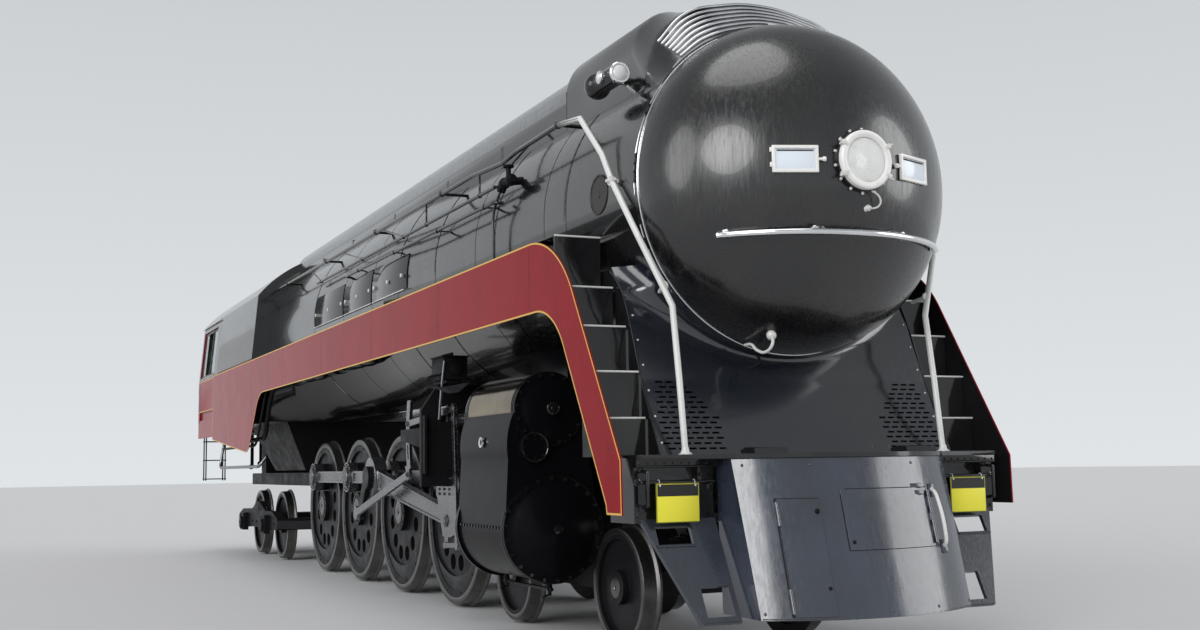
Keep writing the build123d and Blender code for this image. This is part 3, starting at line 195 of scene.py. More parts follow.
def paint(name, colour, rough=(0.1, 0.26), dull=(0.02, 0.019, 0.017), streak=0.1, wave=0.3, level=0.45, coat=0.25):
    """Polished paint with upright wiping streaks, dull patches and slight waviness of the sheet below."""
    material, tree, shader = node_material(name)
    streaks = object_noise(tree, 9.0, (6.0, 6.0, 0.3), detail=8.0, roughness=0.66)
    patches = object_noise(tree, 1.5, (1.3, 1.3, 0.8), detail=6.0, offset=(3, 1, 7))
    waves = object_noise(tree, 1.1, (1.0, 1.0, 1.7), detail=1.0, roughness=0.3)
    tree.links.new(mixed_colour(tree, patches.outputs["Fac"], colour, dull, 0.45, 0.85), shader.inputs["Base Color"])
    tree.links.new(ranged(tree, streaks.outputs["Fac"], rough[0], rough[1], 0.4, 0.7), shader.inputs["Roughness"])
    first = bumped(tree, shader, streaks.outputs["Fac"], streak, 0.003)
    bumped(tree, shader, waves.outputs["Fac"], wave, 0.03, first)
    shader.inputs["Specular IOR Level"].default_value = level
    shader.inputs["Coat Weight"].default_value = coat
    shader.inputs["Coat Roughness"].default_value = 0.04
    return material


def bare_metal(name, colour, rough=(0.16, 0.34), brushed=(3, 3, 3), bump=0.08, metallic=1.0, tarnish=0.6):
    material, tree, shader = node_material(name)
    grain = object_noise(tree, 30.0, brushed, detail=6.0)
    patches = object_noise(tree, 3.0, detail=5.0)
    dark = tuple(c * tarnish for c in colour)
    tree.links.new(mixed_colour(tree, patches.outputs["Fac"], dark, colour), shader.inputs["Base Color"])
    tree.links.new(ranged(tree, grain.outputs["Fac"], rough[0], rough[1]), shader.inputs["Roughness"])
    bumped(tree, shader, grain.outputs["Fac"], bump, 0.002)
    shader.inputs["Metallic"].default_value = metallic
    return material


def satin(name, colour, rough=(0.42, 0.62), dirt=(0.05, 0.042, 0.035), amount=0.62, grain=24.0, bump=0.18, level=0.4):
    """Working black or other dull paint with dust and oil in patches."""
    material, tree, shader = node_material(name)
    patches = object_noise(tree, 4.0, (1, 1, 1.4), detail=8.0, roughness=0.65)
    fine = object_noise(tree, grain, detail=5.0)
    tree.links.new(mixed_colour(tree, patches.outputs["Fac"], colour, dirt, amount, 0.95), shader.inputs["Base Color"])
    tree.links.new(ranged(tree, patches.outputs["Fac"], rough[0], rough[1]), shader.inputs["Roughness"])
    bumped(tree, shader, fine.outputs["Fac"], bump, 0.003)
    shader.inputs["Specular IOR Level"].default_value = level
    return material


def glass(name):
    material, tree, shader = node_material(name)
    wavy = object_noise(tree, 12.0, detail=2.0)
    bumped(tree, shader, wavy.outputs["Fac"], 0.05, 0.002)
    shader.inputs["Base Color"].default_value = (0.9, 0.95, 0.95, 1)
    shader.inputs["Roughness"].default_value = 0.03
    shader.inputs["Transmission Weight"].default_value = 0.92
    shader.inputs["IOR"].default_value = 1.45
    return material


made = {}


def finish_of(key):
    """The material for a finish, made once."""
    if key in made:
        return made[key]
    colours = bpy.context.scene.loco_colours
    black, band = tuple(colours.black), tuple(colours.band)
    makers = {
        "nose_black": lambda: paint("nose_black", black, (0.17, 0.38), streak=0.32, wave=0.2, level=0.7, coat=0.3),
        "brushed_black": lambda: paint("brushed_black", black, (0.12, 0.32), streak=0.16, wave=0.26, level=0.7, coat=0.5),
        "gloss": lambda: paint("gloss_black", black, (0.08, 0.2), streak=0.06, wave=0.2),
        # the cowl's black is lifted and tinted blue: a painted reflection of the sky on black paint
        "cowl_black_sky_sheen": lambda: paint("cowl_black_sky_sheen", (0.01, 0.012, 0.019), (0.1, 0.24), streak=0.05, wave=0.4, level=0.9, coat=0.35),
        # the pilot's black is lifted and tinted blue: a painted reflection of the sky, with dull patches of dirt
        "pilot_black_sky_sheen": lambda: paint("pilot_black_sky_sheen", (0.024, 0.031, 0.049), (0.14, 0.3), dull=(0.01, 0.01, 0.012), streak=0.05,
            wave=0.6, level=0.9, coat=0.2),
        # the steps' black is tinted blue: a painted reflection of the sky
        "step_paint_sky_sheen": lambda: paint("step_paint_sky_sheen", (0.018, 0.023, 0.036), (0.18, 0.34), level=0.9),
        "band": lambda: paint("band_red", band, (0.16, 0.3), dull=tuple(c * 0.75 for c in band), streak=0.03, wave=0.2,
            level=0.07, coat=0),
        "red_paint": lambda: satin("handwheel_red", (0.4, 0.01, 0.008), (0.25, 0.4), (0.12, 0.01, 0.01), 0.7, bump=0.05),
        "lining": lambda: satin("gold_lining", tuple(colours.lining), (0.3, 0.45), (0.4, 0.22, 0.05), 0.7, bump=0.04),
        "frame": lambda: satin("working_black", (0.008, 0.008, 0.009), (0.34, 0.6), (0.02, 0.017, 0.015), level=0.1),
        "wheel_black": lambda: satin("wheel_black", (0.008, 0.008, 0.009), (0.26, 0.5), (0.018, 0.016, 0.014), level=0.1),
        "dark_gloss": lambda: satin("dark_gloss", (0.006, 0.006, 0.007), (0.12, 0.24), (0.014, 0.013, 0.012), bump=0.04, level=0.2),
        "jacket_black": lambda: satin("jacket_black", (0.004, 0.004, 0.005), (0.16, 0.28), (0.01, 0.009, 0.008), bump=0.03,
            level=0.07),
        "dark": lambda: satin("dark_recess", (0.004, 0.004, 0.005), (0.7, 0.9), (0.01, 0.01, 0.01)),
        "steel": lambda: bare_metal("polished_rod_steel", (0.24, 0.24, 0.25), (0.2, 0.38), (0.4, 3, 3), bump=0.04, tarnish=0.85),
        "hub_steel": lambda: bare_metal("hub_steel", (0.2, 0.195, 0.19), (0.25, 0.45), tarnish=0.5),
        "tyre": lambda: bare_metal("worn_tyre_steel", (0.17, 0.165, 0.16), (0.25, 0.45)),
        "chrome": lambda: bare_metal("bright_trim", (0.86, 0.87, 0.88), (0.05, 0.16), bump=0.03, tarnish=0.85),
        "ridge": lambda: bare_metal("polished_ridge", (0.8, 0.8, 0.82), (0.08, 0.2), (2, 0.4, 2), bump=0.04, tarnish=0.7),
        "silver": lambda: satin("silver_paint", (0.62, 0.62, 0.6), (0.24, 0.4), (0.42, 0.41, 0.38), 0.55, bump=0.08, level=0.6),
        "bezel": lambda: satin("bezel_white", (0.78, 0.77, 0.74), (0.2, 0.35), (0.45, 0.43, 0.38), 0.6, bump=0.06, level=0.6),
        "lens": lambda: satin("lamp_lens", (0.72, 0.73, 0.71), (0.08, 0.2), (0.34, 0.3, 0.26), 0.52, grain=16.0, bump=0.16,
            level=0.8),
        "board_glass": lambda: satin("board_glass", (0.72, 0.78, 0.84), (0.1, 0.2), (0.52, 0.58, 0.64), 0.6, bump=0.02, level=0.7),
        "bronze": lambda: bare_metal("cast_plate", (0.022, 0.018, 0.015), (0.3, 0.5), metallic=0.3),
        # bright bronze sheet for the chests' shoulders: a painted highlight band
        "bronze_highlight_sheet": lambda: bare_metal("polished_jacket_highlight", (0.25, 0.195, 0.125), (0.08, 0.18), (0.3, 4, 4), bump=0.05),
        "brass": lambda: bare_metal("brass", (0.62, 0.42, 0.15), (0.16, 0.32)),
        "worn_edge": lambda: satin("worn_edge", (0.02, 0.018, 0.016), (0.4, 0.6), (0.36, 0.27, 0.17), 0.5, grain=40.0, bump=0.3),
        "placard": lambda: satin("placard_yellow", tuple(colours.placard), (0.3, 0.4), (0.55, 0.5, 0.05), 0.8, bump=0.03),
        "placard_black": lambda: satin("placard_black", (0.012, 0.012, 0.012), (0.35, 0.45), (0.03, 0.03, 0.03), 0.8, bump=0.03),
        "cab": lambda: satin("cab_green", (0.1, 0.16, 0.12), (0.4, 0.6), (0.06, 0.08, 0.06), 0.6),
        "cab_floor": lambda: satin("cab_floor_wood", (0.07, 0.045, 0.028), (0.5, 0.7), (0.03, 0.02, 0.014), 0.5, 30.0, 0.3),
        "sash": lambda: satin("sash_paint", (0.02, 0.02, 0.02), (0.25, 0.4), (0.05, 0.045, 0.04), 0.7, bump=0.08),
        "milk": lambda: satin("gauge_white", (0.85, 0.86, 0.84), (0.3, 0.4), (0.7, 0.68, 0.6), 0.65, bump=0.02),
        "glass": lambda: glass("window_glass"),
        "seat": lambda: satin("seat_leather", (0.03, 0.02, 0.015), (0.4, 0.55), (0.05, 0.035, 0.025), 0.6, 60.0, 0.3),
    }
    made[key] = makers[key]()
    return made[key]


# Building

def mesh_of(bm, name, *finishes):
    """The finished bmesh as a mesh."""
    mesh = bpy.data.meshes.new(name)
    bm.to_mesh(mesh)
    bm.free()
    for key in finishes:
        mesh.materials.append(finish_of(key))
    return mesh


def place_mesh(name, mesh, material=None, body="root", sharp=35, stands_for=()):
    obj = bpy.data.objects.new(name, mesh)
    bpy.context.scene.collection.objects.link(obj)
    if material:
        mesh.materials.append(finish_of(material))
    mesh.polygons.foreach_set("use_smooth", [True] * len(mesh.polygons))
    mesh.set_sharp_from_angle(angle=radians(sharp))
    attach(obj, body)
    if stands_for:
        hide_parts(*stands_for)
    return obj


def place(name, bm, material, **options):
    """Turns a finished bmesh into a piece."""
    bmesh.ops.recalc_face_normals(bm, faces=bm.faces)
    return place_mesh(name, mesh_of(bm, name), material, **options)


@contextmanager
def piece(name, material, **options):
    """A bmesh to build in, which becomes a piece when the block ends."""
    bm = bmesh.new()
    yield bm
    place(name, bm, material, **options)


@contextmanager
def pair(name, material, **options):
    """A piece built for the left side, with its like on the right."""
    bm = bmesh.new()
    yield bm
    mirrored(bm)
    place(name, bm, material, **options)


def verts_of(geom):
    return [g for g in geom if isinstance(g, bmesh.types.BMVert)]


def edges_of(verts):
    return list({e for v in verts for e in v.link_edges})


def bevelled(bm, edges, width, segments=2):
    bmesh.ops.bevel(bm, geom=edges, offset=width, offset_type="OFFSET", affect="EDGES", segments=segments, profile=0.5,
        material=-1, clamp_overlap=True)


def soften(bm, width):
    """Rounds every sharp edge."""
    bevelled(bm, [e for e in bm.edges if len(e.link_faces) == 2 and e.calc_face_angle(0) > radians(30)], width)


def cube_into(bm, matrix, bevel=0):
    cube = bmesh.ops.create_cube(bm, size=1, matrix=matrix)
    if bevel:
        bevelled(bm, edges_of(cube["verts"]), bevel)


def box_into(bm, low, high, bevel=0):
    low, high = Vector(map(min, low, high)), Vector(map(max, low, high))
    cube_into(bm, Matrix.Translation((low + high) / 2) @ Matrix.Diagonal((*(high - low), 1)), bevel)


def block_into(bm, matrix, size, bevel=0):
    """Block standing on the matrix's plane, its sizes along that matrix's own axes."""
    cube_into(bm, matrix @ Matrix.Translation((0, 0, size[2] / 2)) @ Matrix.Diagonal((*size, 1)), bevel)


def basis(axis):
    """Matrix that takes +Z to the given direction."""
    return Vector(axis).normalized().to_track_quat("Z", "Y").to_matrix().to_4x4()


def facing(centre, axis):
    """Matrix of a face whose own Z is the axis and whose own Y is upright."""
    return Matrix.Translation(Vector(centre)) @ basis(axis)


def cone_into(bm, matrix, low, high, depth, sides):
    """Rod, screw or cone centred on the matrix, with its low and high radius."""
    return bmesh.ops.create_cone(bm, cap_ends=True, segments=sides, radius1=low, radius2=high, depth=depth, matrix=matrix)["verts"]


def rod_into(bm, start, end, radius, sides=24, bevel=0):
    start, end = Vector(start), Vector(end)
    verts = cone_into(bm, Matrix.Translation((start + end) / 2) @ basis(end - start), radius, radius, (end - start).length, sides)
    if bevel:
        caps = {f for v in verts for f in v.link_faces if len(f.verts) == sides}
        bevelled(bm, list({e for f in caps for e in f.edges}), bevel)


def spun_into(bm, profile, centre, axis, steps=64, closed=False):
    """Turns a profile of (distance along the axis, radius) pairs about the axis through the centre."""
    turn = facing(centre, axis)
    verts = [bm.verts.new(turn @ Vector((radius, 0, along))) for along, radius in profile]
    edges = [bm.edges.new(ends) for ends in zip(verts, verts[1:])]
    if closed:
        edges.append(bm.edges.new((verts[-1], verts[0])))
    bmesh.ops.spin(bm, geom=verts + edges, cent=centre, axis=Vector(axis).normalized(), angle=tau, steps=steps, use_merge=True,
        use_duplicate=False)
    bmesh.ops.remove_doubles(bm, verts=bm.verts, dist=1e-5)


def ring_into(bm, centre, axis, span, radii, steps):
    """Plain ring between two distances along the axis and two radii."""
    (back, front), (inner, outer) = span, radii
    spun_into(bm, [(back, inner), (back, outer), (front, outer), (front, inner)], centre, axis, steps, closed=True)


def slab_into(bm, outline, direction):
    """Extrudes a flat outline of 3D points along a vector."""
    side = bmesh.ops.extrude_face_region(bm, geom=[bm.faces.new([bm.verts.new(p) for p in outline])])
    bmesh.ops.translate(bm, vec=direction, verts=verts_of(side["geom"]))


def studs_into(bm, centre, axis, radius, count, size, height, first=0, radial=False):
    """Ring of nuts on a face, or standing out from a rim."""
    turn = facing(centre, axis)
    for k in range(count):
        spot = Matrix.Rotation(first + tau * k / count, 4, "Z") @ Matrix.Translation((radius, 0, 0))
        if radial:
            spot = spot @ Matrix.Rotation(pi / 2, 4, "Y")
        cone_into(bm, turn @ spot @ Matrix.Translation((0, 0, height / 2)), size, size * 0.86, height, 6)


def rivets_into(bm, start, end, axis, count, size=0.012, height=0.007, sides=8):
    """Row of rivet heads from one point to another, standing out along the axis."""
    start, end = Vector(start), Vector(end)
    for k in range(count):
        spot = start.lerp(end, k / max(1, count - 1))
        cone_into(bm, facing(spot, axis) @ Matrix.Translation((0, 0, height / 2)), size, size * 0.55, height, sides)


def frame_into(bm, matrix, width, height, border, depth):
    """Rectangular frame with its back on the matrix's plane."""
    grid = bmesh.ops.create_grid(bm, x_segments=1, y_segments=1, size=0.5, matrix=matrix @ Matrix.Diagonal((width, height, 1, 1)))
    face = grid["verts"][0].link_faces[0]
    rim = bmesh.ops.inset_region(bm, faces=[face], thickness=border, use_boundary=True, use_even_offset=True)["faces"]
    bmesh.ops.delete(bm, geom=[face], context="FACES_ONLY")
    raised = bmesh.ops.extrude_face_region(bm, geom=rim)
    bmesh.ops.translate(bm, vec=matrix.to_3x3() @ Vector((0, 0, depth)), verts=verts_of(raised["geom"]))


def shell_into(bm, front, rear, radius, start, stop, thickness):
    """Curved plate on the boiler from one station to another, between two angles above the level, left of the middle."""
    first = [bm.verts.new((at(s), r * cos(start), BOILER + r * sin(start)))
        for s, r in ((front, radius[0]), (rear, radius[1]))]
    spun = bmesh.ops.spin(bm, geom=first + [bm.edges.new(first)], cent=(0, 0, BOILER), axis=AHEAD, angle=stop - start, steps=16,
        use_merge=False, use_duplicate=False)
    faces = list({f for v in verts_of(spun["geom_last"] + first) for f in v.link_faces})
    seen = set(faces)
    while faces:
        for edge in faces.pop().edges:
            for face in edge.link_faces:
                if face not in seen:
                    seen.add(face)
                    faces.append(face)
    bmesh.ops.recalc_face_normals(bm, faces=list(seen))
    bmesh.ops.solidify(bm, geom=list(seen), thickness=thickness)


def mirrored(bm):
    """Adds the same shapes on the other side of the locomotive."""
    copy = bmesh.ops.duplicate(bm, geom=bm.verts[:] + bm.edges[:] + bm.faces[:])["geom"]
    bmesh.ops.scale(bm, vec=(1, -1, 1), verts=verts_of(copy))
    bmesh.ops.reverse_faces(bm, faces=[g for g in copy if isinstance(g, bmesh.types.BMFace)])


def bar(name, knots, radius, material, sides, resolution, **options):
    """Round bar along knots of a place and its two handles; handles left out are set by Blender."""
    curve = bpy.data.curves.new(name, "CURVE")
    curve.dimensions = "3D"
    curve.bevel_depth = radius
    curve.bevel_resolution = sides
    curve.resolution_u = resolution
    curve.use_fill_caps = True
    spline = curve.splines.new("BEZIER")
    spline.bezier_points.add(len(knots) - 1)
    for point, (spot, *handles) in zip(spline.bezier_points, knots):
        point.co = spot
        point.handle_left_type = point.handle_right_type = "FREE" if handles else "AUTO"
        if handles:
            point.handle_left, point.handle_right = handles
    path = bpy.data.objects.new(name + "_path", curve)
    mesh = bpy.data.meshes.new_from_object(path)
    bpy.data.objects.remove(path)
    bpy.data.curves.remove(curve)
    mesh.name = name
    mesh.materials.clear()
    return place_mesh(name, mesh, material, sharp=60, **options)


def pipe(name, points, radius, material, bend, sides=5):
    """Rigid pipe along straight runs joined by bends."""
    points = [Vector(p) for p in points]
    knots = [(points[0],) * 3]
    for before, corner, after in zip(points, points[1:], points[2:]):
        back, on = before - corner, after - corner
        reach = min(bend, back.length * 0.45, on.length * 0.45)
        a, b = corner + back.normalized() * reach, corner + on.normalized() * reach
        knots.append((a, a + back.normalized() * reach * 0.3, a - back.normalized() * reach * 0.55))
        knots.append((b, b - on.normalized() * reach * 0.55, b + on.normalized() * reach * 0.3))
    return bar(name, knots + [(points[-1],) * 3], radius, material, sides, 8)


def swept(name, points, radius, material, sides=4):
    """Smooth round bar through the points."""
    return bar(name, [(p,) for p in points], radius, material, sides, 10)


def boiler_radius(station):
    """Radius of the jacket at a station."""
    share = min(1, max(0, (station - TAPER[0]) / (TAPER[1] - TAPER[0])))
    return NOSE + (BARREL - NOSE) * share


def cleaned(node):
    """A solid's mesh with its doubles merged and its flat faces whole."""
    bm = bmesh.new()
    bm.from_mesh(frame["nodes"][node].data)
    bmesh.ops.remove_doubles(bm, verts=bm.verts, dist=2e-5)
    bmesh.ops.dissolve_limit(bm, angle_limit=radians(0.6), verts=bm.verts, edges=bm.edges)
    return bm


def body_with(node):
    return frame["nodes"][node]["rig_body"]


def skin(node, material, bevel=0.004, angle=35, also=(), without=None):
    """A cleaned copy of a solid with its edges eased, shown in its place. A face that passes a test gets another finish."""
    bm = cleaned(node)
    if without:
        bmesh.ops.delete(bm, geom=[face for face in bm.faces if without(face.calc_center_median())], context="FACES")
    bm.normal_update()
    for index, (_, test, *swell) in enumerate(also, 1):
        faces = [face for face in bm.faces if test(face.calc_center_median(), face.normal)]
        for face in faces:
            face.material_index = index
        for vert in {vert for face in faces for vert in face.verts} if swell else ():
            vert.co += vert.normal * swell[0]
    name = node + "_skin"
    mesh = mesh_of(bm, name, material, *(finish for finish, *_ in also))
    obj = place_mesh(name, mesh, body=body_with(node), sharp=angle, stands_for=(node,))
    if bevel:
        ease = obj.modifiers.new("eased edges", "BEVEL")
        ease.width = bevel
        ease.segments = 2
        ease.limit_method = "ANGLE"
        ease.angle_limit = radians(40)
        ease.harden_normals = True


# Operators

def dome_profile(sizes):
    """Distance ahead of the ring and radius along the nose, from its joint to its tip."""
    ring, knuckle, r = 0.04, 0.702, sizes.nose_radius
    depth = sizes.nose_depth - ring
    crown = (depth ** 2 + (r - knuckle) ** 2 - knuckle ** 2) / (2 * (depth - knuckle))
    middle = sizes.nose_depth - crown
    turn = atan2(r - knuckle, ring - middle)
    profile = [(0.0006, r - 0.05), (0.0006, r - 0.002), (0.004, r), (ring, r)]
    for k in range(1, 15):
        angle = pi / 2 - (pi / 2 - turn) * k / 14
        profile.append((ring + knuckle * cos(angle), r - knuckle + knuckle * sin(angle)))
    for k in range(1, 17):
        angle = turn * (1 - k / 16)
        profile.append((middle + crown * cos(angle), max(0, crown * sin(angle))))
    return profile


class LOCO_OT_nose(bpy.types.Operator):
    """Domed nose, its joint ring with bright lips, and the small fittings on it"""
    bl_idname = "loco.nose"
    bl_label = "Nose"

    def execute(self, context):
        sizes = context.scene.loco_sizes
        ring_x, r = at(sizes.nose_station), sizes.nose_radius
        with piece("nose_shell", "nose_black", sharp=50, stands_for=("nose_dome",)) as bm:
            spun_into(bm, dome_profile(sizes), (ring_x, 0, BOILER), AHEAD, steps=160)

        with piece("ring_lips", "chrome", sharp=50) as bm:
            for station in (sizes.nose_station - 0.002, sizes.nose_station + 0.046):
                spun_into(bm, [(0, r - 0.01), (0, r + 0.003), (-0.002, r + 0.005), (-0.005, r + 0.005), (-0.007, r + 0.003),
                    (-0.007, r - 0.01)], (at(station), 0, BOILER), AHEAD, steps=160, closed=True)

        with pair("ring_clamps", "dark_gloss") as bm:
            for z in (3.475, 3.9, 2.95):
                lean = asin((z - BOILER) / r)
                matrix = facing((ring_x - 0.02, r * cos(lean), BOILER + r * sin(lean)), (0, cos(lean), sin(lean)))
                block_into(bm, matrix, (0.034, 0.21 if z == 3.475 else 0.09, 0.012), 0.003)
                for end in (-0.03, 0.03):
                    block_into(bm, matrix @ Matrix.Translation((0, end, 0.008)), (0.016, 0.016, 0.012), 0.002)

        # cap and bent pipe under the nose, and the drain loop on the cowl below
        with piece("drain_cap", "silver") as bm:
            spun_into(bm, [(-0.03, 0), (-0.03, 0.026), (0.012, 0.026), (0.012, 0.034), (0.034, 0.034), (0.038, 0.028),
                (0.046, 0.024), (0.052, 0.014), (0.054, 0)], (BEAM - 0.055, -0.36, 2.3), (0.66, -0.28, -0.45), steps=24)
        swept("drain_pipe", [(BEAM - 0.03, -0.371, 2.282), (BEAM - 0.005, -0.38, 2.23), (BEAM - 0.06, -0.4, 2.175),
            (BEAM - 0.14, -0.42, 2.19), (BEAM - 0.2, -0.43, 2.235), (BEAM - 0.29, -0.43, 2.24)], 0.011, "silver")
        swept("drain_hook", [(BEAM - 0.3, -0.33, 2.17), (BEAM - 0.25, -0.34, 2.14), (BEAM - 0.22, -0.38, 2.1),
            (BEAM - 0.25, -0.42, 2.08), (BEAM - 0.33, -0.43, 2.09)], 0.009, "frame")
        return DONE


class LOCO_OT_headlight(bpy.types.Operator):
    """Bezel, lens, clamps and studs of the headlight, and its conduit"""
    bl_idname = "loco.headlight"
    bl_label = "Headlight"

    def execute(self, context):
        face = (BEAM + 0.628, 0, BOILER + 0.019)
        # the number boards' boxes are made below, set flush with the dome's slope
        skin("lamps", "gloss", without=lambda c: c.x > BEAM + 0.1 and 0.25 < abs(c.y) < 0.8)
        bezel = [(-0.03, 0.2005), (0, 0.2015), (0.01, 0.197), (0.014, 0.188), (0.014, 0.172), (0.009, 0.162), (0.003, 0.154),
            (-0.012, 0.152), (-0.012, 0.146), (0, 0.19)]
        with piece("headlight_bezel", "bezel", sharp=45) as bm:
            spun_into(bm, bezel, face, AHEAD, steps=96, closed=True)
        rows = [(-0.01, 0.153)]
        for k in range(11, 0, -1):
            radius = 0.15 * k / 11
            bulge = 0.016 * (1 - (radius / 0.15) ** 2) - 0.006
            rows += [(bulge, radius), (bulge + 0.0025, radius - 0.006)]
        rows.append((0.0125, 0))
        with piece("headlight_lens", "lens", sharp=20) as bm:
            spun_into(bm, rows, face, AHEAD, steps=96)

        with piece("headlight_clamps", "silver") as bm:
            studs_into(bm, (face[0] - 0.052, 0, face[2]), AHEAD, 0.21, 14, 0.011, 0.016, first=0.2, radial=True)
            ring_into(bm, face, AHEAD, (-0.084, -0.074), (0.205, 0.2165), 96)
            turn = facing(face, AHEAD)
            for degrees in (30, 150, 210, 330):
                spot = turn @ Matrix.Rotation(radians(degrees), 4, "Z") @ Matrix.Translation((0.207, 0, 0))
                block_into(bm, spot @ Matrix.Translation((0, 0, -0.03)), (0.03, 0.036, 0.046), 0.006)
                block_into(bm, spot @ Matrix.Translation((0.022, 0, -0.012)), (0.034, 0.014, 0.018), 0.005)
                block_into(bm, spot @ Matrix.Translation((-0.016, 0, 0.012)), (0.034, 0.02, 0.008), 0.003)
        swept("headlight_conduit", [(BEAM + 0.6, 0.05, 3.205), (BEAM + 0.603, 0.085, 3.19), (BEAM + 0.603, 0.118, 3.15),
            (BEAM + 0.585, 0.12, 3.115), (BEAM + 0.555, 0.092, 3.098), (BEAM + 0.545, 0.062, 3.1)], 0.0065, "silver")
        with piece("headlight_gland", "silver") as bm:
            spun_into(bm, [(-0.05, 0), (-0.05, 0.026), (0.002, 0.026), (0.004, 0.022), (0.026, 0.022), (0.03, 0.012), (0.04, 0.01),
                (0.04, 0)], (BEAM + 0.535, 0.045, 3.098), (0.8, 0.4, 0.05), steps=20)
        return DONE


class LOCO_OT_boards(bpy.types.Operator):
    """Frames, glass and knobs of the number boards"""
    bl_idname = "loco.boards"
    bl_label = "Number boards"

    def execute(self, context):
        for side, word in SIDES:
            turn = radians(20.2)
            plane = facing((BEAM + 0.508, side * 0.481, BOILER + 0.013), (cos(turn), side * sin(turn), 0))
            with piece(f"board_box_{word}", "gloss") as bm:
                block_into(bm, plane @ Matrix.Translation((0, 0, -0.12)), (0.3, 0.17, 0.106), 0.004)

            with piece(f"board_frame_{word}", "bezel") as bm:
                frame_into(bm, plane @ Matrix.Translation((0, 0, -0.02)), 0.312, 0.182, 0.022, 0.024)
                soften(bm, 0.004)
                rod_into(bm, plane @ Vector((-side * 0.156, 0, -0.012)), plane @ Vector((-side * 0.192, 0, -0.012)), 0.01, 14)
                rod_into(bm, plane @ Vector((-side * 0.186, 0, -0.012)), plane @ Vector((-side * 0.208, 0, -0.012)), 0.017, 14,
                    bevel=0.004)
                for y in (-0.05, 0.05):
                    rod_into(bm, plane @ Vector((side * 0.16, y, -0.02)), plane @ Vector((side * 0.16, y + 0.03, -0.02)), 0.008, 12)

            with piece(f"board_glass_{word}", "board_glass") as bm:
                block_into(bm, plane @ Matrix.Translation((0, 0, -0.012)), (0.266, 0.136, 0.006), 0.002)

            with piece(f"board_line_{word}", "dark") as bm:
                block_into(bm, plane @ Matrix.Translation((0, 0.057, -0.006)), (0.245, 0.009, 0.002))
        return DONE


class LOCO_OT_class_lamps(bpy.types.Operator):
    """Lenses, rims and screws of the bullet-shaped class lamps"""
    bl_idname = "loco.class_lamps"
    bl_label = "Class lamps"

    def execute(self, context):
        front = (at(0.843), 1.1, 4.29)
        side = (at(1.015), 1.19, 4.29)

        with pair("class_lamp_rims", "chrome") as bm:
            for centre, axis, r in ((front, AHEAD, 0.078), (side, LEFT, 0.048)):
                spun_into(bm, [(-0.016, r - 0.006), (-0.016, r + 0.002), (0.004, r + 0.002), (0.008, r - 0.003),
                    (0.008, r - 0.014), (0, r - 0.017), (-0.012, r - 0.016)], centre, axis, steps=40, closed=True)
            studs_into(bm, (front[0] - 0.03, 1.1, 4.29), AHEAD, 0.076, 6, 0.006, 0.009, radial=True)
            rod_into(bm, (at(0.905), 1.02, 4.215), (at(0.905), 0.95, 4.17), 0.014, 12)
            for k in range(2):
                rod_into(bm, (at(0.99 + 0.07 * k), 0.97, 4.288), (at(0.99 + 0.07 * k), 0.97, 4.3), 0.012, 6)

        with pair("class_lamp_lenses", "lens") as bm:
            for centre, axis, r in ((front, AHEAD, 0.064), (side, LEFT, 0.034)):
                spun_into(bm, [(-0.006, r), (0.002, r * 0.94), (0.01, r * 0.76), (0.016, r * 0.5), (0.019, r * 0.22), (0.02, 0)],
                    centre, axis, steps=40)
        return DONE


def hood_line(share):
    """Points across the hood's sloping front, from one side over the crown to the other."""
    low, height = BOILER + 0.5, 1.01
    # station, half width and share of the height of the side's top and of the crown's edge, top and bulge
    first, last = (0.4, 0.975, 0.229, 0.62, 0.55, 0.708, 0.024), (0.69, 0.97, 0.287, 0.64, 0.856, 0.995, 0.08)
    half = []
    for station, side, side_up, crown, crown_up, top_up, bulge in (first, last):
        side_z, crown_z, top = low + height * side_up, low + height * crown_up, low + height * top_up
        chord = hypot(side - crown, crown_z - side_z)
        middle = ((side + crown) / 2 + bulge * (crown_z - side_z) / chord, (side_z + crown_z) / 2 + bulge * (side - crown) / chord)
        sag = crown_z + (top - crown_z) * 0.75
        half.append([Vector((at(station), y, z)) for y, z in ((side, side_z), middle, (crown, crown_z), (crown / 2, sag),
            (0, top))])
    return [a.lerp(b, share) for a, b in zip(*half)]


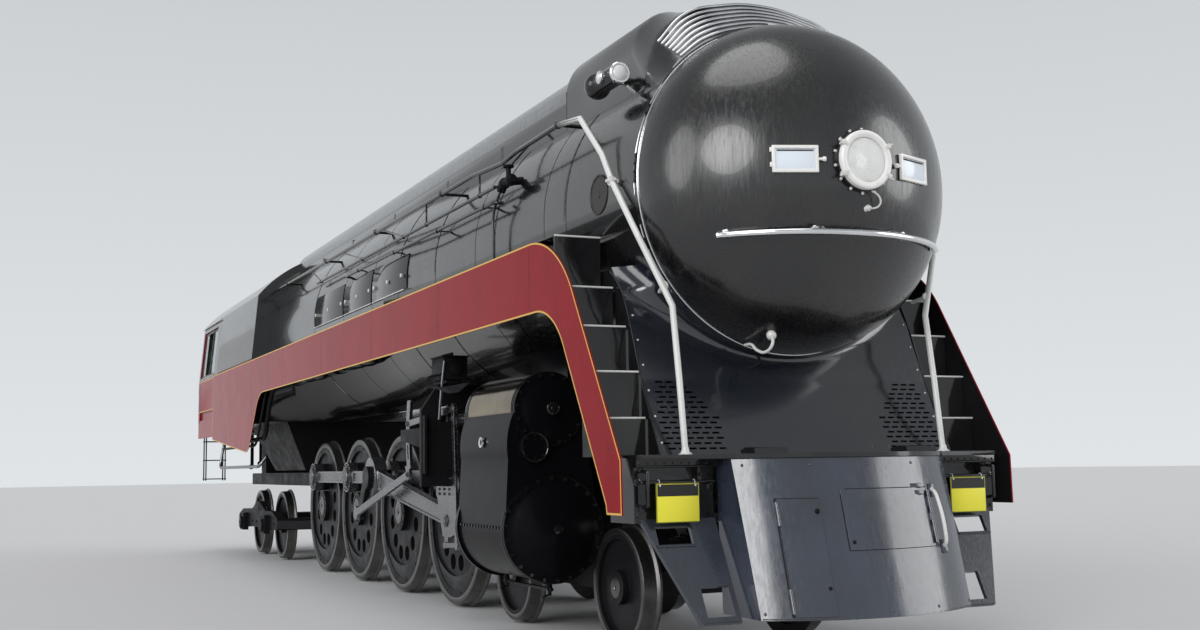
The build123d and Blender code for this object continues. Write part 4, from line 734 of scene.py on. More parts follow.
class LOCO_OT_hood(bpy.types.Operator):
    """Hood and long casing, with the polished ridges across the front, seams, lids and latch"""
    bl_idname = "loco.hood"
    bl_label = "Hood"

    def execute(self, context):
        count = context.scene.loco_sizes.ridge_count
        skin("skyline_casing", "brushed_black", bevel=0.02, angle=50)
        for k in range(count):
            share = 0.1 + 0.84 * k / (count - 1)
            line = hood_line(share)
            # the ridges stop short of the hood's edges
            half = line[1:]
            up = Vector((0.55, 0, 0.45)) * 0.006
            points = [p + up for p in half] + [Vector((p.x, -p.y, p.z)) + up for p in reversed(half[:-1])]
            swept(f"hood_ridge_{k + 1}", points, 0.0125, "ridge", sides=5)

        with pair("casing_seams", "dark") as bm:
            for station in (2.3, 3.95, 5.6, 7.6, 9.6, 11.3):
                top, half = (4.9, 0.9) if station < 2.4 else (4.81, 0.85)
                outline = [(at(station) - 0.002, half + 0.0015, BOILER + 0.82), (at(station) + 0.002, half + 0.0015,
                    BOILER + 0.82), (at(station) + 0.002, half + 0.0015, top - 0.36), (at(station) - 0.002, half + 0.0015,
                    top - 0.36)]
                slab_into(bm, outline, (0, -0.004, 0))

        with pair("casing_screws", "gloss") as bm:
            for station in (3.99, 5.64, 7.64, 9.64):
                rivets_into(bm, (at(station), 0.851, BOILER + 0.86), (at(station), 0.851, 4.44), LEFT, 9, 0.008, 0.004)

        with piece("hood_latch", "silver") as bm:
            block_into(bm, facing((at(0.47), 0, 4.64), (0.72, 0, 0.69)), (0.05, 0.09, 0.03), 0.006)
            rod_into(bm, (at(0.455), -0.05, 4.665), (at(0.455), 0.05, 4.665), 0.009, 12)
            block_into(bm, facing((at(0.44), 0.11, 4.612), (0.72, 0, 0.69)), (0.03, 0.05, 0.02), 0.005)

        with piece("casing_lids", "gloss") as bm:
            for back in (5.0, 5.7):
                spun_into(bm, [(0, 0.185), (0.006, 0.2), (0.022, 0.202), (0.034, 0.19), (0.046, 0.12), (0.05, 0)],
                    (at(back), 0, 4.812), UP, steps=40)
                block_into(bm, facing((at(back), 0, 4.86), UP), (0.03, 0.16, 0.022), 0.006)
            spun_into(bm, [(-0.02, 0.247), (-0.02, 0.292), (0.006, 0.292), (0.012, 0.28), (0.006, 0.247)], (at(1.9), 0, 4.887), UP,
                steps=48, closed=True)
            for y in (-0.16, 0, 0.16):
                spun_into(bm, [(0, 0.05), (0, 0.056), (0.014, 0.056), (0.018, 0.04), (0.05, 0.04), (0.056, 0.034), (0.06, 0)],
                    (at(11.6), y, 4.838), UP, steps=20)
        return DONE


class LOCO_OT_boiler(bpy.types.Operator):
    """Boiler jacket with its seams, hatches, blank round plates, valves and pipes"""
    bl_idname = "loco.boiler"
    bl_label = "Boiler"

    def execute(self, context):
        skin("boiler_jacket", "brushed_black", bevel=0, angle=30)

        with piece("jacket_seams", "dark") as bm:
            for station in (1.64, 2.09, 3.23, 3.76, 4.94, 6.1, 7.07, 8.38, 9.95):
                r = boiler_radius(station)
                ring_into(bm, (at(station), 0, BOILER), AHEAD, (-0.0025, 0.0025), (r - 0.01, r + 0.002), 96)
                for y in (-r - 0.0015, r - 0.0005):
                    box_into(bm, (at(station) - 0.0025, y, BOARD), (at(station) + 0.0025, y + 0.002, BOILER))

        with piece("jacket_bands", "gloss") as bm:
            for station in (1.66, 3.25, 4.96, 6.12, 9.97):
                r = boiler_radius(station)
                ring_into(bm, (at(station), 0, BOILER), AHEAD, (-0.03, 0), (r - 0.01, r + 0.0025), 96)

        with pair("side_hatches", "gloss") as bm:
            for front, rear in ((5.8, 7.04), (7.1, 8.35), (8.41, 9.92)):
                radius = (boiler_radius(front) + 0.012, boiler_radius(rear) + 0.012)
                shell_into(bm, front, rear, radius, radians(-4), radians(13.5), 0.01)
            soften(bm, 0.003)

        with pair("hatch_strips", "silver") as bm:
            for front, rear in ((5.8, 7.04), (7.1, 8.35), (8.41, 9.92)):
                r = max(boiler_radius(front), boiler_radius(rear)) + 0.012
                box_into(bm, (at(front), r - 0.006, 3.285), (at(rear), r + 0.004, 3.297), 0.002)
                for station in (front + 0.08, (front + rear) / 2, rear - 0.08):
                    box_into(bm, (at(station) - 0.02, r - 0.01, 3.43), (at(station) + 0.02, r + 0.008, 3.47), 0.003)

        with pair("round_plates", "bronze", sharp=30) as bm:
            r = NOSE
            lean = asin(0.01 / r)
            spun_into(bm, [(-0.02, 0.152), (0.004, 0.152), (0.008, 0.148), (0.008, 0.136), (0.004, 0.132), (0.004, 0.03),
                (0.007, 0.026), (0.007, 0)], (at(1.02), r, 3.4), (0, cos(lean), sin(lean)), steps=56)
            studs_into(bm, (at(1.02), r + 0.006, 3.4), LEFT, 0.142, 12, 0.005, 0.004)

        with piece("side_valve", "frame") as bm:
            x, y, z = at(2.8), -1.245, 3.85
            spun_into(bm, [(-0.11, 0), (-0.11, 0.045), (-0.07, 0.05), (-0.06, 0.036), (0.05, 0.036), (0.06, 0.052), (0.1, 0.052),
                (0.11, 0.03), (0.14, 0.03), (0.14, 0)], (x, y, z), AHEAD, steps=24)
            rod_into(bm, (x, y, z), (x, y + 0.14, z + 0.02), 0.035, 16)
            rod_into(bm, (x + 0.02, y, z - 0.02), (x + 0.02, y, z + 0.12), 0.022, 12)
            spun_into(bm, [(0, 0.045), (0.012, 0.05), (0.02, 0.045), (0.012, 0.04)], (x + 0.02, y, z + 0.12), UP, steps=24,
                closed=True)
            for turn in range(3):
                away = Vector((cos(turn * 1.05), sin(turn * 1.05), 0)) * 0.044
                hub = Vector((x + 0.02, y, z + 0.13))
                rod_into(bm, hub - away, hub + away, 0.006, 8)
            spun_into(bm, [(-0.03, 0.03), (-0.03, 0.04), (0.03, 0.04), (0.04, 0.02), (0.06, 0)], (x - 0.14, y, z - 0.03),
                (0, -1, 0.2), steps=20)
            block_into(bm, facing((x - 0.14, y + 0.02, z - 0.03), (0, -1, 0)), (0.1, 0.07, 0.03), 0.01)
            studs_into(bm, (x + 0.1, y, z), AHEAD, 0.038, 6, 0.007, 0.01)
        swept("valve_pipe_up", [(at(2.8), -1.245, 3.9), (at(2.82), -1.21, 3.99), (at(2.86), -1.1, 4.12), (at(2.9), -0.96, 4.26),
            (at(2.9), -0.88, 4.33)], 0.013, "gloss")
        swept("valve_pipe_down", [(at(2.94), -1.245, 3.82), (at(3.0), -1.27, 3.72), (at(3.05), -1.285, 3.6),
            (at(3.05), -1.288, 3.4), (at(3.05), -1.288, BOARD)], 0.012, "gloss")

        for side, word in SIDES:
            pipe(f"side_pipe_{word}", [(at(2.98), side * 1.215, 3.7), (at(3.0), side * 1.3, 3.7), (at(5.5), side * 1.3, 3.725),
                (at(8.2), side * 1.3, 3.745), (at(8.24), side * 1.215, 3.745)], 0.015, "gloss", bend=0.06)

        with pair("pipe_clamps", "gloss") as bm:
            for station in (3.25, 4.6, 6.1, 7.6):
                z, r = 3.7 + 0.045 * (station - 3.0) / 5.2, boiler_radius(station)
                edge = sqrt(r * r - (z - BOILER) ** 2)
                box_into(bm, (at(station) - 0.02, edge - 0.02, z - 0.006), (at(station) + 0.02, 1.3, z + 0.006), 0.003)
                ring_into(bm, (at(station), 1.3, z), AHEAD, (-0.02, 0.02), (0.014, 0.021), 20)
                studs_into(bm, (at(station), 1.262, z + 0.006), UP, 0.012, 2, 0.008, 0.008)
        return DONE


def cowl_x(y, z):
    """X of the cowl under the nose: a leaning sheet that sweeps forward into the boiler's neck."""
    rows = ((DECK, 0.13), (1.99, 0.385), (2.441, 0.568), (2.643, 0.678), (2.829, 0.894), (3.2, 1.33))
    for (low, near), (high, far) in zip(rows, rows[1:]):
        if z <= high or high == 3.2:
            station = near + (far - near) * (z - low) / (high - low)
            break
    clear = hypot(y, z - BOILER) - NOSE
    reach = max(0.02, min(0.3, station - 0.4))
    lift = 0
    if clear < reach:
        near = reach - max(0, clear)
        lift = reach - sqrt(max(0, reach * reach - near * near))
    return at(station) + lift


class LOCO_OT_cowl(bpy.types.Operator):
    """Cowl under the nose, one smooth sheet with rows of slots at both sides"""
    bl_idname = "loco.cowl"
    bl_label = "Cowl"

    def execute(self, context):
        half, low, high = 1.2, DECK + 0.001, 2.835
        bm = bmesh.new()
        grid = Matrix.Translation((at(0.5), 0, (low + high) / 2)) @ basis(AHEAD) @ Matrix.Diagonal((2 * half, high - low, 1, 1))
        bmesh.ops.create_grid(bm, x_segments=108, y_segments=64, size=0.5, matrix=grid)
        gone = [f for f in bm.faces if all(hypot(v.co.y, v.co.z - BOILER) < 1.203 for v in f.verts)]
        bmesh.ops.delete(bm, geom=gone, context="FACES")
        for vert in bm.verts:
            away = Vector((0, vert.co.y, vert.co.z - BOILER))
            if away.length < 1.204:
                away = away.normalized() * 1.204
                vert.co.y, vert.co.z = away.y, BOILER + away.z
            vert.co.x = cowl_x(vert.co.y, vert.co.z)
        bmesh.ops.recalc_face_normals(bm, faces=bm.faces)
        bmesh.ops.solidify(bm, geom=bm.faces[:], thickness=0.008)
        shape = bpy.data.objects.new("cowl_shape", mesh_of(bm, "cowl_sheet"))

        # slots across each side: how many in the row, and how far the outermost lies from the sheet's edge
        rows = ((6, 0.075), (6, 0.045), (6, 0.075), (6, 0.05), (6, 0.08), (6, 0.055), (6, 0.085), (5, 0.06), (5, 0.09), (5, 0.07),
            (4, 0.1), (4, 0.08), (3, 0.12), (3, 0.1))
        cutter = bmesh.new()
        for k, (count, edge) in enumerate(rows):
            z = DECK + 0.042 + 0.0355 * k
            for j in range(count):
                y = half - edge - 0.028 - 0.078 * j
                x = cowl_x(y, z)
                slab_into(cutter, [(x + 0.08, y - 0.028, z - 0.0065), (x + 0.08, y + 0.028, z - 0.0065),
                    (x + 0.08, y + 0.028, z + 0.0065), (x + 0.08, y - 0.028, z + 0.0065)], (-0.16, 0, 0))
        mirrored(cutter)
        bmesh.ops.recalc_face_normals(cutter, faces=cutter.faces)
        tool = bpy.data.objects.new("slot_tool", mesh_of(cutter, "slots"))
        for obj in (shape, tool):
            context.scene.collection.objects.link(obj)
        cut = shape.modifiers.new("slots", "BOOLEAN")
        cut.operation = "DIFFERENCE"
        cut.solver = "EXACT"
        cut.object = tool
        context.view_layer.update()
        final = bpy.data.meshes.new_from_object(shape.evaluated_get(context.evaluated_depsgraph_get()))
        bpy.data.objects.remove(shape)
        bpy.data.objects.remove(tool)
        final.name = "cowl"
        # the cowl's blue-tinted black is a painted reflection of the sky
        place_mesh("cowl", final, "cowl_black_sky_sheen", sharp=50, stands_for=("apron",))

        with pair("cowl_sides", "dark_gloss") as bm:
            slab_into(bm, [(at(0.2), 0.62, DECK + 0.004), (at(0.2), 1.18, DECK + 0.004), (at(0.44), 1.18, 1.99),
                (at(0.44), 0.62, 1.99)], (-0.01, 0, 0))
            # side sheet behind the cowl's edge, and its rolled edge
            slab_into(bm, [(at(0.14), 1.199, DECK + 0.002), (at(0.39), 1.199, 1.985), (at(0.575), 1.199, 2.436),
                (at(0.685), 1.199, 2.638), (at(0.9), 1.199, 2.826), (at(1.4), 1.199, 2.826), (at(1.4), 1.199, DECK + 0.002)],
                (0, -0.006, 0))
        for side, word in SIDES:
            swept(f"cowl_edge_{word}", [(at(0.13), side * 1.2, DECK + 0.004), (at(0.255), side * 1.2, 1.733),
                (at(0.385), side * 1.2, 1.99), (at(0.568), side * 1.2, 2.441), (at(0.678), side * 1.2, 2.643),
                (at(0.86), side * 1.2, 2.8)], 0.006, "gloss", sides=3)

        with pair("cowl_screws", "silver") as bm:
            for z in (1.56, 1.74, 1.92, 2.1, 2.28, 2.46):
                cone_into(bm, facing((cowl_x(1.165, z) + 0.003, 1.165, z), (0.85, 0, 0.5)), 0.008, 0.005, 0.006, 10)
        return DONE


class LOCO_OT_skirts(bpy.types.Operator):
    """Side skirts with thin gold lines along every edge, seams and screws"""
    bl_idname = "loco.skirts"
    bl_label = "Skirts"

    def execute(self, context):
        width = context.scene.loco_sizes.lining_width
        for side, word in SIDES:
            node = f"skirt_{word}"
            bm = cleaned(node)
            faces = [f for f in bm.faces if f.normal.y * side > 0.95]
            # the sheet lies a little inside the solid, so that its seams and screws stand no further out than that
            bmesh.ops.translate(bm, verts=list({v for f in faces for v in f.verts}), vec=(0, -side * 0.0006, 0))
            rim = bmesh.ops.inset_region(bm, faces=faces, thickness=width, use_even_offset=True, use_boundary=True)["faces"]
            for face in rim:
                face.material_index = 1
            for face in bm.faces:
                if face.normal.y * side < -0.3:
                    face.material_index = 2
            place_mesh(node + "_skin", mesh_of(bm, node + "_skin", "band", "lining", "frame"), stands_for=(node,))

        with pair("skirt_seams", "dark") as bm:
            for station in (1.47, 3.68, 5.95, 8.2, 10.45, 12.7, 14.6):
                bottom = 2.56 if station < 12.5 else 1.75 + 0.07 * (station - 12.7)
                box_into(bm, (at(station) - 0.0015, SKIRT - 0.0026, bottom + 0.02), (at(station) + 0.0015, SKIRT - 0.0002,
                    BOARD - 0.016))

        with pair("skirt_screws", "dark_gloss") as bm:
            for station in (3.64, 3.72, 5.91, 5.99, 8.16, 8.24, 10.41, 10.49, 12.66, 12.74, 14.56, 14.64):
                bottom = 2.61 if station < 12.5 else 1.83 + 0.07 * (station - 12.7)
                count = 7 if station < 12.5 else 16
                rivets_into(bm, (at(station), SKIRT - 0.0021, bottom), (at(station), SKIRT - 0.0021, BOARD - 0.05), LEFT, count,
                    0.006, 0.002, sides=7)
            for station, z in ((0.02, 1.2), (0.02, 1.32), (0.1, 1.52), (0.28, 1.83), (0.52, 2.25)):
                cone_into(bm, facing((at(station), SKIRT - 0.0045, z), LEFT), 0.014, 0.008, 0.008, 14)
        return DONE


class LOCO_OT_boards_and_steps(bpy.types.Operator):
    """Running boards and the steps up from the deck, with bright worn edges"""
    bl_idname = "loco.steps"
    bl_label = "Steps and running boards"

    def execute(self, context):
        for _, word in SIDES:
            skin(f"running_board_{word}", "gloss")

        with pair("step_edges", "silver") as bm:
            for station, z in ((0.32, 1.735), (0.41, 2.055), (0.6, 2.385), (0.8, 2.685), (1.0, BOARD)):
                rod_into(bm, (at(station) + 0.001, 1.212, z - 0.006), (at(station) + 0.001, 1.576, z - 0.006), 0.0075, 12)
                for k in range(4):
                    cone_into(bm, Matrix.Translation((at(station + 0.06), 1.25 + 0.095 * k, z + 0.002)), 0.008, 0.005, 0.004, 10)

        with pair("tread_bars", "frame") as bm:
            # raised bars of the tread plates
            for station, z, reach in ((0.32, 1.735, 0.09), (0.41, 2.055, 0.16), (0.6, 2.385, 0.17), (0.8, 2.685, 0.17)):
                for k in range(int(reach / 0.022)):
                    box_into(bm, (at(station + 0.018 + 0.022 * k), 1.23, z), (at(station + 0.012 + 0.022 * k), 1.56, z + 0.003))
            for k in range(150):
                station = 1.06 + 0.075 * k
                box_into(bm, (at(station), 1.29, BOARD), (at(station + 0.018), 1.56, BOARD + 0.003))
        return DONE


class LOCO_OT_beam(bpy.types.Operator):
    """Pilot beam with its bolts, leaning step plates and the blank yellow plates"""
    bl_idname = "loco.beam"
    bl_label = "Pilot beam"

    def execute(self, context):
        # the leaning step plates get a blue-tinted black, a painted reflection of the sky
        skin("pilot_beam", "gloss", bevel=0.005, also=(("step_paint_sky_sheen",
            lambda c, n: abs(c.y) > 0.8 and c.z < 1.0 and c.x > BEAM + 0.04),))

        with pair("beam_bolts", "gloss") as bm:
            rivets_into(bm, (BEAM, 0.915, 1.085), (BEAM, 1.44, 1.085), AHEAD, 8, 0.016, 0.012, sides=6)
            rivets_into(bm, (BEAM, 0.905, 1.345), (BEAM, 0.975, 1.345), AHEAD, 2, 0.016, 0.012, sides=6)
            for y, z in ((1.405, 1.385), (1.405, 1.13), (1.44, 1.3), (0.905, 1.27)):
                spun_into(bm, [(-0.002, 0), (-0.002, 0.026), (0.006, 0.026), (0.009, 0.018), (0.009, 0)], (BEAM, y, z), AHEAD,
                    steps=20)
            rivets_into(bm, (BEAM + 0.038, 0.95, 1.42), (BEAM + 0.038, 1.44, 1.42), AHEAD, 9, 0.009, 0.006)
            # eye in the dark pocket
            ring_into(bm, (BEAM - 0.01, 0.835, 1.2), LEFT, (-0.02, 0.02), (0.02, 0.034), 20)

        with pair("deck_bolts", "gloss") as bm:
            for x, y, z in ((at(0.16), 0.53, 1.511), (at(0.16), 0.68, 1.511), (at(0.26), 0.53, 1.517), (at(0.26), 0.68, 1.517)):
                cone_into(bm, Matrix.Translation((x, y, z + 0.004)), 0.018, 0.017, 0.016, 6)
            for k in range(9):
                spot = (BEAM + 0.02, 0.93 + 0.06 * k, DECK)
                cone_into(bm, Matrix.Translation(spot), 0.01, 0.006, 0.006, 10)

        with pair("deck_edge_roll", "gloss") as bm:
            rod_into(bm, (BEAM + 0.038, 0.9, DECK - 0.014), (BEAM + 0.038, 1.462, DECK - 0.014), 0.013, 14)
            rod_into(bm, (BEAM + 0.036, 0.9, DECK - 0.075), (BEAM + 0.036, 1.462, DECK - 0.075), 0.008, 12)

        for side, word in SIDES:
            plane = facing((BEAM + 0.072, side * 1.182, 1.166), AHEAD)
            with piece(f"placard_{word}", "placard") as bm:
                block_into(bm, plane, (0.318, 0.254, 0.003), 0.001)
            with piece(f"placard_header_{word}", "placard_black") as bm:
                block_into(bm, plane @ Matrix.Translation((0, 0.081, 0.003)), (0.3, 0.076, 0.0012))

            with piece(f"placard_rim_{word}", "placard_black") as bm:
                frame_into(bm, plane @ Matrix.Translation((0, 0, 0.002)), 0.316, 0.252, 0.004, 0.0018)

            with piece(f"placard_ties_{word}", "silver") as bm:
                for y in (-0.13, 0.13):
                    ring_into(bm, (BEAM + 0.052, side * 1.182 + y, 1.3), LEFT, (-0.0015, 0.0015), (0.013, 0.018), 20)
                    rod_into(bm, (BEAM + 0.068, side * 1.182 + y, 1.298), (BEAM + 0.0765, side * 1.182 + y, 1.278), 0.0025, 8)
                    cone_into(bm, facing((BEAM + 0.0765, side * 1.182 + y, 1.278), AHEAD), 0.008, 0.006, 0.003, 12)

        # the step lips share the blue-tinted black, a painted reflection of the sky
        with pair("step_lips", "step_paint_sky_sheen") as bm:
            x = lambda z: BEAM + 0.05 + (0.965 - z) * 0.5
            for z, near, far in ((0.892, 1.07, 1.35), (0.412, 0.9, 1.14)):
                rod_into(bm, (x(z) + 0.004, near, z), (x(z) + 0.004, far, z), 0.008, 10)
        return DONE


def pilot_face(y, z, out):
    """X of the pilot's curved and leaning face."""
    top, radius = DECK - 0.0303, (0.854 ** 2 + 0.284 ** 2) / (2 * 0.284)
    ahead = 0.484 - radius + sqrt(radius ** 2 - y ** 2) + out
    return BEAM + ahead + 0.26 * (top - z) / (top - 0.43)


class LOCO_OT_pilot(bpy.types.Operator):
    """Bulged pilot with its hatch, coupler cover, handle and latch"""
    bl_idname = "loco.pilot"
    bl_label = "Pilot"

    def execute(self, context):
        # the pilot's blue-tinted black is a painted reflection of the sky on its black paint
        skin("pilot_shell", "pilot_black_sky_sheen", bevel=0, angle=30)
        skin("pilot_hatch", "pilot_black_sky_sheen", bevel=0.0015, angle=30)
        skin("coupler_cover", "pilot_black_sky_sheen", bevel=0.0015, angle=30)
        lean = Vector((1, 0, 0.25)).normalized()

        def spot(y, z, out):
            return Vector((pilot_face(y, z, out), y, z))

        with piece("cover_catch", "frame", body=body_with("coupler_cover")) as bm:
            spun_into(bm, [(0, 0), (0, 0.013), (0.006, 0.012), (0.009, 0.007), (0.009, 0)], spot(-0.2, 0.9, 0.008), lean, steps=16)

        with piece("hatch_latch", "frame", body=body_with("pilot_hatch")) as bm:
            spun_into(bm, [(0, 0), (0, 0.017), (0.008, 0.017), (0.012, 0.012), (0.012, 0)], spot(-0.412, 1.1, 0.008), lean,
                steps=20)
            block_into(bm, facing(spot(-0.412, 1.1, 0.019), lean), (0.008, 0.026, 0.006), 0.001)
            spun_into(bm, [(0, 0), (0, 0.013), (0.006, 0.012), (0.006, 0)], spot(-0.412, 0.62, 0.008), lean, steps=16)

        with piece("pilot_lugs", "pilot_black_sky_sheen") as bm:
            for z in (1.245, 1.2):
                block_into(bm, facing(spot(0.4, z, -0.001), lean), (0.1, 0.03, 0.016), 0.004)
            block_into(bm, facing(spot(0.56, 1.21, -0.001), lean), (0.05, 0.09, 0.018), 0.005)
            block_into(bm, facing(spot(0.58, 0.84, -0.001), lean), (0.05, 0.09, 0.018), 0.005)
        swept("pilot_grab", [spot(0.56, 1.22, 0.012), spot(0.56, 1.2, 0.045), spot(0.563, 1.15, 0.06), spot(0.575, 0.92, 0.06),
            spot(0.578, 0.87, 0.045), spot(0.58, 0.845, 0.012)], 0.013, "silver")

        with piece("pilot_screws", "pilot_black_sky_sheen") as bm:
            for y in (-0.8, -0.4, 0, 0.4, 0.8):
                for z in (1.4, 0.47):
                    cone_into(bm, facing(spot(y, z, 0.002), lean), 0.012, 0.007, 0.007, 12)

        with piece("pilot_joints", "dark") as bm:
            # dark joints round the hatch and the coupler cover
            hatch = [(-0.655, 0.452), (-0.655, 1.18), (-0.39, 1.18), (-0.39, 0.452), (-0.655, 0.452)]
            cover = [(0.5, 0.85), (-0.235, 0.85), (-0.235, 1.195), (-0.222, 1.222), (-0.195, 1.235), (0.5, 1.235)]
            for outline in (hatch, cover):
                for (y1, z1), (y2, z2) in zip(outline, outline[1:]):
                    count = max(1, round(abs(y2 - y1) / 0.06))
                    knots = [spot(y1 + (y2 - y1) * k / count, z1 + (z2 - z1) * k / count, 0) for k in range(count + 1)]
                    for a, b in zip(knots, knots[1:]):
                        rod_into(bm, a, b, 0.0055, 8)

        with piece("pilot_toe", "worn_edge") as bm:
            for side in (-1, 1):
                verts = [spot(side * 0.815 * k / 12, 0.436, -0.009) for k in range(13)]
                for a, b in zip(verts, verts[1:]):
                    rod_into(bm, a, b, 0.009, 8)
        return DONE


class LOCO_OT_cylinders(bpy.types.Operator):
    """Cylinders and valve chests with bolted covers, and a bright bronze band on each chest's shoulder that is a
    painted highlight
    """
    bl_idname = "loco.cylinders"
    bl_label = "Cylinders"

    def execute(self, context):
        skin("cylinder_block", "jacket_black", bevel=0.006, angle=40)
        front, rear = at(2.16), at(3.34)

        with pair("cylinder_bolts", "gloss") as bm:
            for y, z, r, count, size in ((CYLINDER, AXLE, 0.403, 22, 0.019), (CHEST, CHEST_Z, 0.276, 16, 0.015)):
                for x, axis in ((front, AHEAD), (rear, BACK)):
                    studs_into(bm, (x, y, z), axis, r, count, size, 0.022, first=0.1)
                    spun_into(bm, [(0, r + 0.02), (0.004, r + 0.026), (0.004, r + 0.02)], (x, y, z), axis, steps=64, closed=True)
            spun_into(bm, [(0, 0.105), (0, 0.122), (0.008, 0.122), (0.01, 0.11), (0.006, 0.105)],
                (front + 0.022, 1.287, AXLE + 0.655), AHEAD, steps=40, closed=True)
            studs_into(bm, (front + 0.022, 1.287, AXLE + 0.655), AHEAD, 0.092, 8, 0.011, 0.014)
            # bolts along the jacket's flange
            for k in range(15):
                x = front - 0.09 - 0.07 * k
                cone_into(bm, facing((x, 1.532, AXLE + 0.02), LEFT), 0.012, 0.011, 0.012, 6)

        with pair("cylinder_caps", "gloss") as bm:
            spun_into(bm, [(0, 0), (0, 0.052), (0.01, 0.052), (0.016, 0.042), (0.016, 0.02), (0.024, 0.016), (0.024, 0)],
                (front + 0.072, CHEST, CHEST_Z), AHEAD, steps=32)
            spun_into(bm, [(0, 0), (0, 0.026), (0.003, 0.026), (0.003, 0.012), (0.012, 0.01), (0.012, 0)],
                (at(2.735), 1.5225, 1.62), (0, 1, 0.04), steps=20)
            spun_into(bm, [(0, 0), (0, 0.04), (0.012, 0.036), (0.018, 0)], (front + 0.095, CYLINDER, AXLE), AHEAD, steps=32)

        with pair("jacket_plugs", "chrome") as bm:
            spun_into(bm, [(-0.004, 0.026), (0.006, 0.026), (0.01, 0.034), (0.01, 0.044), (-0.004, 0.046)],
                (at(2.735), 1.5225, 1.62), (0, 1, 0.04), steps=32, closed=True)

        with pair("chest_highlight_bands", "bronze_highlight_sheet", sharp=30) as bm:
            # polished sheet over the chest's shoulder, cut a little short of the end flanges; it lies where the
            # highlight falls, a painted highlight
            centre = Vector((front - 0.075, CHEST, CHEST_Z))
            first = [bm.verts.new((front - 0.075, CHEST + 0.302 * cos(-0.2), CHEST_Z + 0.302 * sin(-0.2))),
                bm.verts.new((rear + 0.075, CHEST + 0.302 * cos(-0.2), CHEST_Z + 0.302 * sin(-0.2)))]
            bmesh.ops.spin(bm, geom=first + [bm.edges.new(first)], cent=centre, axis=AHEAD, angle=1.5, steps=24, use_merge=False,
                use_duplicate=False)
            bmesh.ops.recalc_face_normals(bm, faces=bm.faces)
            bmesh.ops.solidify(bm, geom=bm.faces[:], thickness=0.004)

        with pair("flange_rings", "gloss") as bm:
            for x in (front - 0.048, rear + 0.048):
                for y, z, r in ((CYLINDER, AXLE, 0.43), (CHEST, CHEST_Z, 0.3)):
                    ring_into(bm, (x, y, z), AHEAD, (-0.004, 0.004), (r - 0.004, r + 0.003), 64)

        with pair("drain_cocks", "frame") as bm:
            for x in (front - 0.11, rear + 0.11):
                rod_into(bm, (x, CYLINDER, AXLE - 0.485), (x, CYLINDER, AXLE - 0.525), 0.016, 12)
                rod_into(bm, (x, CYLINDER, AXLE - 0.515), (x + 0.06, 1.2, AXLE - 0.53), 0.009, 10)
                studs_into(bm, (x, CYLINDER, AXLE - 0.47), (0, 0, -1), 0.018, 4, 0.006, 0.006)
        return DONE


class LOCO_OT_wheels(bpy.types.Operator):
    """Driving and truck wheels with bright tyres, hub faces and their bolts"""
    bl_idname = "loco.wheels"
    bl_label = "Wheels"

    def execute(self, context):
        # node, tread radius, width of the bright tyre, distance of the hub's face from the middle, hub radius
        rows = (
            ("driver_1", 0.889, 0.07, 0.8495, 0.21), ("main_driver", 0.889, 0.07, 0.8495, 0.21),
            ("driver_3", 0.889, 0.07, 0.8495, 0.21), ("driver_4", 0.889, 0.07, 0.8495, 0.21),
            ("lead_axle_front", 0.457, 0.055, 0.8355, 0.13), ("lead_axle_rear", 0.457, 0.055, 0.8355, 0.13),
            ("trail_axle_front", 0.533, 0.055, 0.8355, 0.13), ("trail_axle_rear", 0.533, 0.055, 0.8355, 0.13),
        )
        for node, tread, tyre, hub, hub_r in rows:
            low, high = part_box(node)
            x, z = (low[0] + high[0]) / 2, RAIL + tread

            skin(node, "wheel_black", also=(("tyre", lambda c, n: abs(c.y) > 0.66 and hypot(c.x - x, c.z - z) > tread - tyre),))

            with pair(f"{node}_tyres", "tyre", body=body_with(node), sharp=40) as bm:
                spun_into(bm, [(0, tread - tyre), (0.0015, tread - tyre + 0.003), (0.0015, tread - 0.012), (0, tread - 0.008)],
                    (x, 0.818, z), LEFT, steps=96, closed=True)

            with pair(f"{node}_hubs", "hub_steel", body=body_with(node)) as bm:
                spun_into(bm, [(-0.002, hub_r * 0.62), (0.004, hub_r * 0.62), (0.006, hub_r * 0.56), (0.006, hub_r * 0.16),
                    (0, hub_r * 0.1), (0, 0)], (x, hub, z), LEFT, steps=40)
                if tread > 0.6:
                    studs_into(bm, (x, hub, z), LEFT, hub_r * 0.78, 10, 0.012, 0.01)

            if tread > 0.6:
                # bolts that hold the tyre
                with pair(f"{node}_bolts", "wheel_black", body=body_with(node)) as bm:
                    for k in range(12):
                        turn = tau * (k + 0.5) / 12
                        studs_into(bm, (x + (tread - 0.105) * cos(turn), 0.815, z + (tread - 0.105) * sin(turn)), LEFT, 0, 1,
                            0.012, 0.008)
        return DONE


